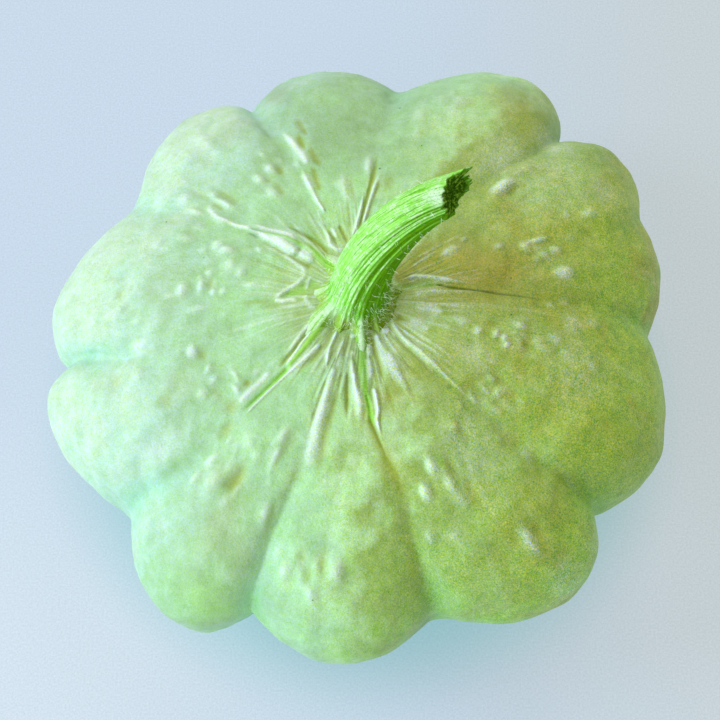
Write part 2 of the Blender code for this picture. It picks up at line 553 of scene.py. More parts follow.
@dataclass(frozen=True)
class FruitForm:
    """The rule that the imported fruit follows: lobes that swell from two poles."""

    widest_level: float = 0.0300
    crown_rise: float = 0.0285
    bowl_drop: float = 0.0312
    seat_dip: float = 0.0015
    seat_dip_span: Pair = (0.009, 0.022)
    mean_reach: float = 0.0625
    crown_fullness: float = 0.88
    bowl_fullness: float = 0.95
    scallop_roundness: float = 0.70
    furrow_softness: float = 0.10
    pole_scallop: float = 0.25
    scallop_fade: Pair = (0.30, 0.95)
    foot_rounding: float = 0.0006

    @property
    def seat_level(self) -> float:
        """Height of the crown's middle, where the stem stands."""
        return self.widest_level + self.crown_rise - self.seat_dip

    def swell(self, across: np.ndarray, crest_place: np.ndarray) -> np.ndarray:
        """How far a lobe has swelled, 0 in its furrows and 1 at its crest.

        Args:
            across: share of the way from one furrow to the next.
            crest_place: where the crest lies on that way.

        Returns:
            The swell at each point.
        """
        stretch = crest_place / (1.0 - crest_place)
        wave = np.sin(math.pi * across / (across + (1.0 - across) * stretch))
        power = self.scallop_roundness
        floor = self.furrow_softness**power
        full = (1.0 + self.furrow_softness**2) ** (power / 2.0)
        return ((wave**2 + self.furrow_softness**2) ** (power / 2.0) - floor) / (full - floor)

    def skin(self, turn: np.ndarray, latitude: np.ndarray) -> Tuple[np.ndarray, np.ndarray, np.ndarray]:
        """Points of the smooth skin.

        Args:
            turn: lobes counted round the fruit; the fraction is the way across that lobe.
            latitude: a quarter turn at the stem, 0 at the widest level, minus a quarter turn below.

        Returns:
            Bearings in degrees, plan radii and heights.
        """
        table = np.array([(l.furrow_bearing, l.furrow_reach, l.crest_reach, l.crest_place) for l in LOBES])
        index = np.floor(turn).astype(int) % len(LOBES)
        following = (index + 1) % len(LOBES)
        across = turn - np.floor(turn)
        start, furrow, crest, crest_place = table[index].transpose(2, 0, 1)
        width = (table[following][..., 0] - start) % 360.0
        furrow = furrow + (table[following][..., 1] - furrow) * smooth_step(across, 0.0, 1.0)
        reach = furrow + (crest - furrow) * self.swell(across, crest_place)

        crown = latitude > 0.0
        fullness = np.where(crown, self.crown_fullness, self.bowl_fullness)
        share = np.maximum(np.cos(latitude), 0.0) ** fullness
        scallop = self.pole_scallop + (1.0 - self.pole_scallop) * smooth_step(share, *self.scallop_fade)
        radius = share * (self.mean_reach + (reach - self.mean_reach) * scallop)
        rise = np.where(crown, self.crown_rise, self.bowl_drop)
        height = self.widest_level + rise * np.sin(latitude)
        dip = self.seat_dip * (1.0 - smooth_step(radius, *self.seat_dip_span))
        height = np.where(crown, height - dip, height)
        height = (height + np.sqrt(height**2 + self.foot_rounding**2)) / 2.0

        bends = np.array([np.interp(share, BEND_SHARES, lobe.bend) for lobe in LOBES])
        bend = np.take_along_axis(bends, index[None], axis=0)[0] * (1.0 - across)
        bend = bend + np.take_along_axis(bends, following[None], axis=0)[0] * across
        return start + width * across + np.where(crown, bend, 0.0), radius, height


# ------------ What grows on the skin ------------


class Tint(Enum):
    """What colours a fold or a spot, by the name of the mark that the mesh carries for it."""

    # Pale tissue and warts, and painted highlight on pleat ridges and on flanks that face the lamps.
    PALE_AND_HIGHLIGHT = "pale"
    # Painted shade in creases, pits and shaded patches.
    DARK = "dark"
    GREEN = "green"
    # Olive grooves, and painted shade in hollows and on flanks that face away from the lamps.
    TAN = "tan"
    LIME = "lime"
    # Ochre patches, and the stem's shadow painted to its right.
    OCHRE_AND_SHADOW = "ochre"


@dataclass(frozen=True)
class Fold:
    """A ridge or a groove on the crown, in millimetres.

    path holds plan radii, bearings in degrees and half widths. rise is below 0 for a groove. strength is
    the share of the tint that shows, and body the share of the length that the fold runs before it thins
    out.
    """

    tint: Tint
    rise: float
    path: Tuple[Point, ...]
    strength: float = 1.0
    body: float = 0.6

    LEAD = 0.9
    LEAD_BACK = 0.3
    END_WIDTH = 0.45
    REACH = 2.6

    def profile(self, plan: np.ndarray) -> Tuple[np.ndarray, np.ndarray]:
        """The fold's height as a share of its rise.

        Args:
            plan: the skin's points in plan, one in each row.

        Returns:
            Which of the points the fold can reach, and 0 to 1 at each of those.
        """
        radii, bearings, widths = np.array(self.path).T
        angles = np.radians(bearings)
        corners = np.stack((radii * np.cos(angles), radii * np.sin(angles)), axis=-1)
        margin = self.REACH * widths.max()
        low, high = corners.min(axis=0) - margin, corners.max(axis=0) + margin
        near = np.flatnonzero(((plan > low) & (plan < high)).all(axis=1))
        points = plan[near]
        steps = np.diff(corners, axis=0)
        lengths = np.linalg.norm(steps, axis=1)
        starts = np.concatenate(([0.0], np.cumsum(lengths)))
        away, run = np.full(len(points), np.inf), np.zeros(len(points))
        for corner, step, length, start in zip(corners, steps, lengths, starts):
            share = np.clip((points - corner) @ step / length**2, 0.0, 1.0)
            gap = np.linalg.norm(points - corner - share[:, None] * step, axis=1)
            away, run = np.where(gap < away, (gap, start + share * length), (away, run))
        thinning = starts[-1] * self.body
        taper = smooth_step(run, -self.LEAD_BACK * self.LEAD, self.LEAD)
        taper = taper * (1.0 - smooth_step(run, thinning, starts[-1]))
        width = np.interp(run, starts, widths) * (self.END_WIDTH + (1.0 - self.END_WIDTH) * taper)
        return near, taper * np.exp(-((away / width) ** 2))


FOLDS = (
    # The crease to the right, darkened with painted shade, the green valley that it leaves, and the pale lip
    # above it.
    Fold(Tint.DARK, -0.7, ((15.4, 10.8, 0.2), (18.0, 7.0, 0.28), (22.0, 4.3, 0.25), (28.0, 2.6, 0.25),
         (34.0, 1.5, 0.26), (42.0, 0.5, 0.26)), 0.65, 0.3),
    Fold(Tint.GREEN, -0.6, ((8.5, 15.5, 0.5), (13.0, 13.0, 0.75), (15.5, 10.5, 0.5), (18.0, 7.8, 0.3)),
         0.55),
    Fold(Tint.PALE_AND_HIGHLIGHT, 0.9, ((10.3, 24.5, 0.4), (12.0, 22.8, 0.45), (14.0, 18.8, 0.42),
         (16.5, 14.5, 0.36), (19.0, 10.5, 0.3), (24.0, 7.0, 0.25)), 1.0, 0.45),
    Fold(Tint.PALE_AND_HIGHLIGHT, 0.4, ((10.6, 4.5, 0.6), (12.5, 4.5, 0.8), (15.0, 5.5, 0.45), (21.0, 3.0, 0.25)),
         0.7, 0.4),
    # Then the stem's shadow, painted as a warm ochre band to its right, and a fainter ochre band in front to
    # the right.
    Fold(Tint.OCHRE_AND_SHADOW, 0.0, ((8.0, 38.0, 2.5), (15.0, 33.0, 4.5), (27.0, 20.0, 8.0), (46.0, 8.0, 11.0)),
         0.9, 0.3),
    Fold(Tint.OCHRE_AND_SHADOW, 0.0, ((18.0, 330.0, 5.0), (27.0, 326.0, 6.0), (40.0, 322.0, 8.0)), 0.35, 0.4),
    # Behind the stem.
    Fold(Tint.PALE_AND_HIGHLIGHT, 0.9, ((16.4, 87.8, 0.36), (22.0, 84.3, 0.38), (26.0, 82.8, 0.45),
         (30.0, 81.3, 0.4)), 0.75, 0.6),
    Fold(Tint.TAN, -0.8, ((15.5, 90.7, 0.3), (19.0, 87.6, 0.36), (25.0, 85.0, 0.4), (29.0, 84.1, 0.55),
         (35.0, 83.5, 0.4)), 1.1, 0.6),
    Fold(Tint.PALE_AND_HIGHLIGHT, 0.7, ((13.8, 96.0, 0.32), (16.0, 92.4, 0.38), (20.0, 89.2, 0.28), (24.0, 88.0, 0.2))),
    Fold(Tint.PALE_AND_HIGHLIGHT, 0.9, ((20.0, 110.7, 0.32), (23.0, 111.7, 0.42), (30.0, 112.0, 0.65),
         (32.6, 111.4, 0.6)), 0.8, 0.7),
    Fold(Tint.PALE_AND_HIGHLIGHT, 0.6, ((32.6, 109.2, 0.6), (36.0, 109.5, 0.75), (40.0, 110.7, 0.75),
         (45.5, 112.0, 0.4)), 1.1),
    Fold(Tint.TAN, -0.4, ((25.5, 108.3, 0.5), (29.0, 108.3, 0.75), (32.0, 107.6, 0.5)), 0.9, 0.8),
    Fold(Tint.TAN, -0.4, ((31.5, 104.8, 0.5), (34.0, 106.0, 0.9), (37.0, 106.5, 0.6)), 0.9, 0.8),
    Fold(Tint.TAN, -0.5, ((36.5, 108.2, 0.5), (39.0, 108.4, 0.9), (41.5, 108.0, 0.5)), 1.1, 0.8),
    Fold(Tint.TAN, -0.4, ((40.5, 105.8, 0.5), (43.0, 106.4, 0.55), (46.5, 106.6, 0.4)), 0.9, 0.8),
    Fold(Tint.TAN, -0.8, ((12.4, 101.5, 0.45), (14.2, 102.2, 0.6), (17.0, 104.8, 0.4)), 1.0, 0.7),
    Fold(Tint.TAN, -0.4, ((12.4, 111.5, 0.35), (14.5, 111.8, 0.42), (16.5, 112.5, 0.3)), 1.0, 0.7),
    Fold(Tint.TAN, -0.3, ((15.0, 96.5, 0.3), (18.0, 96.3, 0.38), (23.0, 96.2, 0.3)), 0.6),
    Fold(Tint.PALE_AND_HIGHLIGHT, 0.4, ((13.8, 109.0, 0.3), (15.0, 109.8, 0.42), (17.0, 110.5, 0.3)), 0.9),
    Fold(Tint.PALE_AND_HIGHLIGHT, 0.6, ((11.2, 106.0, 0.25), (11.4, 113.0, 0.35), (13.0, 117.0, 0.5),
         (16.8, 114.0, 0.3)), 1.0, 0.7),
    Fold(Tint.PALE_AND_HIGHLIGHT, 0.3, ((21.5, 97.0, 0.6), (25.0, 97.3, 1.0), (29.0, 97.0, 0.7)), 0.5, 0.7),
    # The green root up to the left, its brown groove and its thick pale lips.
    Fold(Tint.TAN, -1.0, ((11.6, 122.0, 0.5), (13.5, 123.5, 0.62), (15.5, 125.5, 0.5),
         (19.0, 130.0, 0.3), (23.0, 134.5, 0.25)), 1.1, 0.55),
    Fold(Tint.PALE_AND_HIGHLIGHT, 0.4, ((15.2, 129.8, 0.3), (17.0, 130.8, 0.36), (19.0, 132.3, 0.28)), 0.7),
    Fold(Tint.PALE_AND_HIGHLIGHT, 0.5, ((17.8, 136.2, 0.4), (19.5, 135.6, 0.52), (22.0, 138.6, 0.5),
         (24.0, 141.0, 0.5), (28.0, 143.2, 0.4)), 1.0, 0.7),
    Fold(Tint.GREEN, 0.9, ((9.5, 131.5, 0.9), (12.0, 131.7, 0.9), (14.5, 133.0, 0.75),
         (17.0, 136.0, 0.52), (20.0, 139.3, 0.42), (23.0, 142.8, 0.32), (27.0, 146.8, 0.28)), 1.0, 0.9),
    Fold(Tint.DARK, -0.4, ((23.8, 145.8, 0.3), (25.2, 146.3, 0.45), (27.0, 146.8, 0.3)), 0.5, 0.8),
    Fold(Tint.PALE_AND_HIGHLIGHT, 1.0, ((12.2, 139.3, 0.6), (14.0, 139.7, 0.9), (15.6, 140.8, 0.75)), 1.5, 0.95),
    Fold(Tint.PALE_AND_HIGHLIGHT, 1.2, ((15.6, 142.0, 0.7), (17.5, 142.6, 1.05), (19.5, 143.0, 0.95),
         (22.0, 144.3, 0.6), (25.0, 145.3, 0.4), (30.0, 145.5, 0.35)), 1.5, 0.45),
    Fold(Tint.DARK, -0.3, ((15.4, 137.5, 0.14), (15.7, 145.0, 0.14)), 0.4, 0.9),
    Fold(Tint.DARK, -0.2, ((16.9, 139.5, 0.12), (17.4, 146.0, 0.12)), 0.3, 0.9),
    Fold(Tint.PALE_AND_HIGHLIGHT, 0.5, ((26.5, 144.5, 0.5), (30.0, 146.0, 0.42), (34.5, 146.5, 0.42),
         (37.5, 145.0, 0.42), (38.4, 142.0, 0.35)), 1.0, 0.8),
    Fold(Tint.TAN, -0.6, ((11.5, 145.2, 0.45), (14.0, 146.3, 0.42), (18.0, 147.5, 0.3),
         (27.0, 148.0, 0.25)), 1.1, 0.4),
    # The pointed loop to the left.
    Fold(Tint.PALE_AND_HIGHLIGHT, 0.4, ((18.2, 148.3, 0.4), (15.5, 149.0, 0.44), (13.2, 150.5, 0.46),
         (12.2, 154.0, 0.46), (12.2, 160.0, 0.44), (12.9, 166.0, 0.42), (14.1, 171.0, 0.42),
         (15.3, 175.5, 0.4), (17.2, 181.5, 0.45)), 0.85, 0.9),
    Fold(Tint.GREEN, -0.6, ((9.0, 156.0, 0.6), (10.5, 165.0, 1.1), (12.0, 172.0, 1.1),
         (13.6, 176.0, 0.8), (16.2, 180.0, 0.3)), 0.65, 0.8),
    Fold(Tint.PALE_AND_HIGHLIGHT, 0.4, ((10.9, 154.0, 0.25), (10.9, 162.0, 0.3), (10.9, 171.0, 0.22)), 0.9, 0.8),
    Fold(Tint.PALE_AND_HIGHLIGHT, 0.5, ((10.9, 176.0, 0.3), (10.6, 184.0, 0.36), (9.9, 191.0, 0.32),
         (8.6, 198.0, 0.3)), 1.0, 0.8),
    Fold(Tint.PALE_AND_HIGHLIGHT, 0.5, ((12.3, 184.0, 0.4), (13.5, 181.3, 0.5), (15.3, 182.8, 0.42),
         (17.0, 181.6, 0.42)), 1.1, 0.9),
    Fold(Tint.TAN, -0.3, ((17.5, 182.8, 0.4), (21.0, 182.5, 0.5), (25.0, 182.5, 0.4)), 0.5),
    # The green root down to the left, its fringe and its crease.
    Fold(Tint.PALE_AND_HIGHLIGHT, 0.5, ((8.6, 197.0, 0.32), (9.5, 202.0, 0.4), (10.8, 208.0, 0.42),
         (14.0, 214.3, 0.48), (16.2, 217.6, 0.42), (19.3, 221.4, 0.3)), 0.85, 0.8),
    Fold(Tint.TAN, -0.5, ((8.6, 204.5, 0.2), (10.3, 210.5, 0.24), (12.6, 213.2, 0.2)), 0.9),
    Fold(Tint.TAN, -0.6, ((12.2, 215.6, 0.22), (14.5, 218.0, 0.26), (16.8, 221.0, 0.27),
         (19.5, 222.7, 0.32), (22.3, 224.3, 0.32)), 1.0, 0.8),
    Fold(Tint.PALE_AND_HIGHLIGHT, 0.5, ((8.2, 205.5, 0.22), (9.8, 212.5, 0.26), (12.0, 216.8, 0.26),
         (16.0, 221.8, 0.26), (20.8, 225.8, 0.26)), 1.1, 0.9),
    Fold(Tint.GREEN, 0.8, ((7.2, 211.0, 0.8), (9.0, 216.5, 0.85), (11.0, 220.8, 0.85),
         (14.0, 224.0, 0.72), (18.0, 226.5, 0.6), (20.7, 227.4, 0.52)), 1.0, 0.97),
    Fold(Tint.PALE_AND_HIGHLIGHT, 0.7, ((12.6, 232.3, 0.42), (15.0, 231.8, 0.62), (17.5, 231.2, 0.58),
         (20.0, 230.3, 0.4), (23.0, 229.2, 0.24), (33.0, 227.4, 0.2)), 1.1, 0.9),
    Fold(Tint.GREEN, -0.9, ((20.4, 227.2, 0.42), (22.0, 227.3, 0.44), (28.0, 226.4, 0.34),
         (33.2, 225.6, 0.22)), 0.9, 0.8),
    Fold(Tint.PALE_AND_HIGHLIGHT, 0.4, ((23.5, 222.3, 0.5), (28.0, 222.6, 0.62), (32.5, 222.8, 0.5)), 0.9, 0.85),
    Fold(Tint.TAN, -0.5, ((7.6, 230.0, 0.6), (10.0, 234.5, 0.9), (12.0, 236.5, 0.7),
         (16.5, 235.7, 0.5), (22.0, 234.0, 0.35)), 0.8, 0.55),
    # Ridges and valleys in front.
    Fold(Tint.PALE_AND_HIGHLIGHT, 0.8, ((8.2, 237.8, 0.3), (10.0, 239.6, 0.36), (12.0, 241.3, 0.38),
         (14.0, 243.3, 0.42), (17.4, 248.0, 0.38)), 1.1, 0.7),
    Fold(Tint.TAN, -0.2, ((8.6, 246.0, 0.42), (11.0, 246.3, 0.55), (14.5, 247.8, 0.4)), 0.7, 0.7),
    Fold(Tint.PALE_AND_HIGHLIGHT, 0.4, ((9.6, 251.0, 0.32), (12.0, 251.0, 0.45), (14.8, 251.3, 0.25)), 0.8),
    Fold(Tint.TAN, -0.3, ((8.0, 254.5, 0.5), (11.0, 256.0, 0.7), (14.5, 255.0, 0.45)), 1.0, 0.7),
    Fold(Tint.PALE_AND_HIGHLIGHT, 0.7, ((15.8, 252.0, 0.45), (20.0, 252.5, 0.75), (26.0, 253.0, 1.05),
         (32.0, 253.4, 1.35), (37.4, 253.2, 1.2)), 0.75, 0.8),
    Fold(Tint.TAN, -0.4, ((19.0, 250.2, 0.25), (26.0, 250.5, 0.4), (30.5, 250.8, 0.32)), 0.8),
    Fold(Tint.TAN, -0.3, ((16.5, 258.0, 0.3), (24.0, 257.8, 0.55), (33.0, 257.0, 0.95),
         (38.0, 257.0, 0.6)), 0.7, 0.8),
    Fold(Tint.PALE_AND_HIGHLIGHT, 1.0, ((13.4, 263.5, 0.45), (16.0, 265.0, 0.55), (18.0, 266.6, 0.58),
         (20.0, 268.0, 0.75), (22.5, 270.0, 0.9), (28.0, 270.0, 1.1)), 0.95, 0.5),
    Fold(Tint.TAN, -0.6, ((16.5, 261.8, 0.3), (20.0, 263.2, 0.42), (22.5, 264.0, 0.42),
         (26.5, 264.7, 0.3)), 0.9),
    Fold(Tint.PALE_AND_HIGHLIGHT, 0.4, ((11.6, 259.8, 0.38), (12.0, 263.0, 0.48), (12.2, 267.0, 0.4)), 1.0, 0.8),
    Fold(Tint.PALE_AND_HIGHLIGHT, 0.4, ((8.9, 256.5, 0.4), (8.4, 262.0, 0.55), (7.6, 268.5, 0.5)), 1.0, 0.8),
    Fold(Tint.GREEN, 0.3, ((7.2, 273.4, 0.7), (10.0, 272.9, 0.85), (12.5, 272.0, 0.95),
         (16.0, 272.3, 0.9), (20.0, 273.0, 0.75), (24.5, 274.8, 0.55), (28.0, 276.2, 0.4)), 1.15, 0.85),
    Fold(Tint.TAN, -0.6, ((20.5, 273.3, 0.25), (23.0, 274.6, 0.36), (26.0, 275.0, 0.38),
         (30.0, 277.5, 0.34), (36.0, 280.3, 0.3)), 0.8, 0.35),
    Fold(Tint.TAN, -0.2, ((25.0, 274.5, 0.6), (29.0, 276.3, 0.9), (35.0, 280.0, 0.9),
         (44.0, 283.0, 0.7)), 0.9),
    Fold(Tint.PALE_AND_HIGHLIGHT, 0.8, ((19.4, 278.0, 0.3), (22.0, 278.4, 0.38), (24.0, 278.5, 0.32),
         (26.0, 277.2, 0.36), (29.5, 278.0, 0.3)), 1.2, 0.7),
    Fold(Tint.PALE_AND_HIGHLIGHT, 0.5, ((12.8, 277.3, 0.5), (14.5, 277.6, 0.6), (19.2, 276.5, 0.3)), 1.0, 0.5),
    Fold(Tint.PALE_AND_HIGHLIGHT, 0.5, ((10.0, 279.6, 0.5), (11.4, 279.5, 0.55), (12.8, 279.0, 0.4)), 1.1, 0.8),
    Fold(Tint.TAN, -0.5, ((8.4, 285.0, 0.6), (12.0, 285.3, 0.8), (15.5, 285.0, 0.75),
         (18.0, 283.3, 0.5), (22.5, 282.5, 0.35)), 1.1, 0.55),
    Fold(Tint.PALE_AND_HIGHLIGHT, 0.6, ((8.2, 291.6, 0.45), (10.0, 291.0, 0.6), (13.0, 291.3, 0.95),
         (16.0, 292.5, 1.2), (18.0, 293.3, 1.15), (24.0, 296.5, 0.8)), 1.0, 0.45),
    Fold(Tint.PALE_AND_HIGHLIGHT, 0.7, ((7.8, 300.5, 0.4), (8.8, 305.0, 0.6), (9.3, 310.5, 0.4)), 1.3, 0.8),
    Fold(Tint.TAN, -0.5, ((10.6, 310.8, 0.32), (14.0, 311.0, 0.42), (18.0, 311.3, 0.38),
         (23.0, 310.8, 0.3)), 0.8, 0.7),
    Fold(Tint.PALE_AND_HIGHLIGHT, 0.6, ((8.1, 322.0, 0.4), (9.0, 318.0, 0.5), (10.3, 316.0, 0.4),
         (12.3, 314.3, 0.38), (14.0, 314.4, 0.5), (16.5, 315.0, 0.55), (24.0, 314.8, 0.36),
         (33.0, 315.5, 0.28)), 0.75, 0.5),
    Fold(Tint.PALE_AND_HIGHLIGHT, 0.3, ((10.6, 333.0, 0.8), (13.0, 333.0, 1.2), (15.8, 333.0, 0.7)), 0.7, 0.8),
    Fold(Tint.PALE_AND_HIGHLIGHT, 0.3, ((11.0, 350.0, 0.8), (14.0, 350.3, 1.1), (17.0, 349.0, 0.7)), 0.7, 0.8),
    Fold(Tint.TAN, -0.5, ((8.3, 325.0, 0.5), (9.0, 331.0, 0.65), (9.6, 336.0, 0.4)), 1.1, 0.8),
)


@dataclass(frozen=True)
class PleatField:
    """The fine pleats that crowd round the stem's foot, drawn at random, in millimetres."""

    count: int = 150
    seed: int = 11
    stagger: float = 0.4
    inner: Pair = (8.0, 15.0)
    length: Pair = (5.0, 17.0)
    half_width: Pair = (0.16, 0.42)
    rise: float = 0.16
    rise_shares: Pair = (0.5, 1.4)
    strength: Pair = (0.1, 0.5)
    drift: float = 2.5

    def folds(self) -> List[Fold]:
        """Draws the pleats.

        Returns:
            The pleats as folds, pale where they rise and tan where they sink, partly as painted highlight and
            painted shade.
        """
        draw = np.random.default_rng(self.seed)
        made = []
        for step in range(self.count):
            bearing = 360.0 * (step + draw.uniform(-self.stagger, self.stagger)) / self.count
            start = draw.uniform(*self.inner)
            end = start + draw.uniform(*self.length)
            width = draw.uniform(*self.half_width)
            path = ((start, bearing, width), (end, bearing + draw.normal(0.0, self.drift), width))
            up = step % 2 == 0
            rise = self.rise * draw.uniform(*self.rise_shares) * (1.0 if up else -1.0)
            made.append(Fold(Tint.PALE_AND_HIGHLIGHT if up else Tint.TAN, rise, path, draw.uniform(*self.strength)))
        return made


@dataclass(frozen=True)
class Spot:
    """A wart, a hollow or a flat patch of colour on the crown, in millimetres; some flat patches are painted
    highlight, others painted shade.

    across and along are its half widths round the fruit and out from the stem. rise is below 0 for a
    hollow, and strength is the share of the tint that shows.
    """

    bearing: float
    radius: float
    across: float
    along: float
    rise: float
    strength: float

    REACH = 2.6
    FLATNESS = 1.25

    def profile(self, bearing: np.ndarray, radius: np.ndarray) -> Tuple[np.ndarray, np.ndarray]:
        """The spot's height as a share of its rise.

        Args:
            bearing: bearings of the skin's points, in degrees.
            radius: their plan radii.

        Returns:
            Which of the points the spot can reach, and 0 to 1 at each of those.
        """
        out = (radius - self.radius) / self.along
        side = np.radians(turn_between(bearing, self.bearing)) * self.radius / self.across
        near = np.flatnonzero((np.abs(out) < self.REACH) & (np.abs(side) < self.REACH))
        return near, np.exp(-((out[near] ** 2 + side[near] ** 2) ** self.FLATNESS))


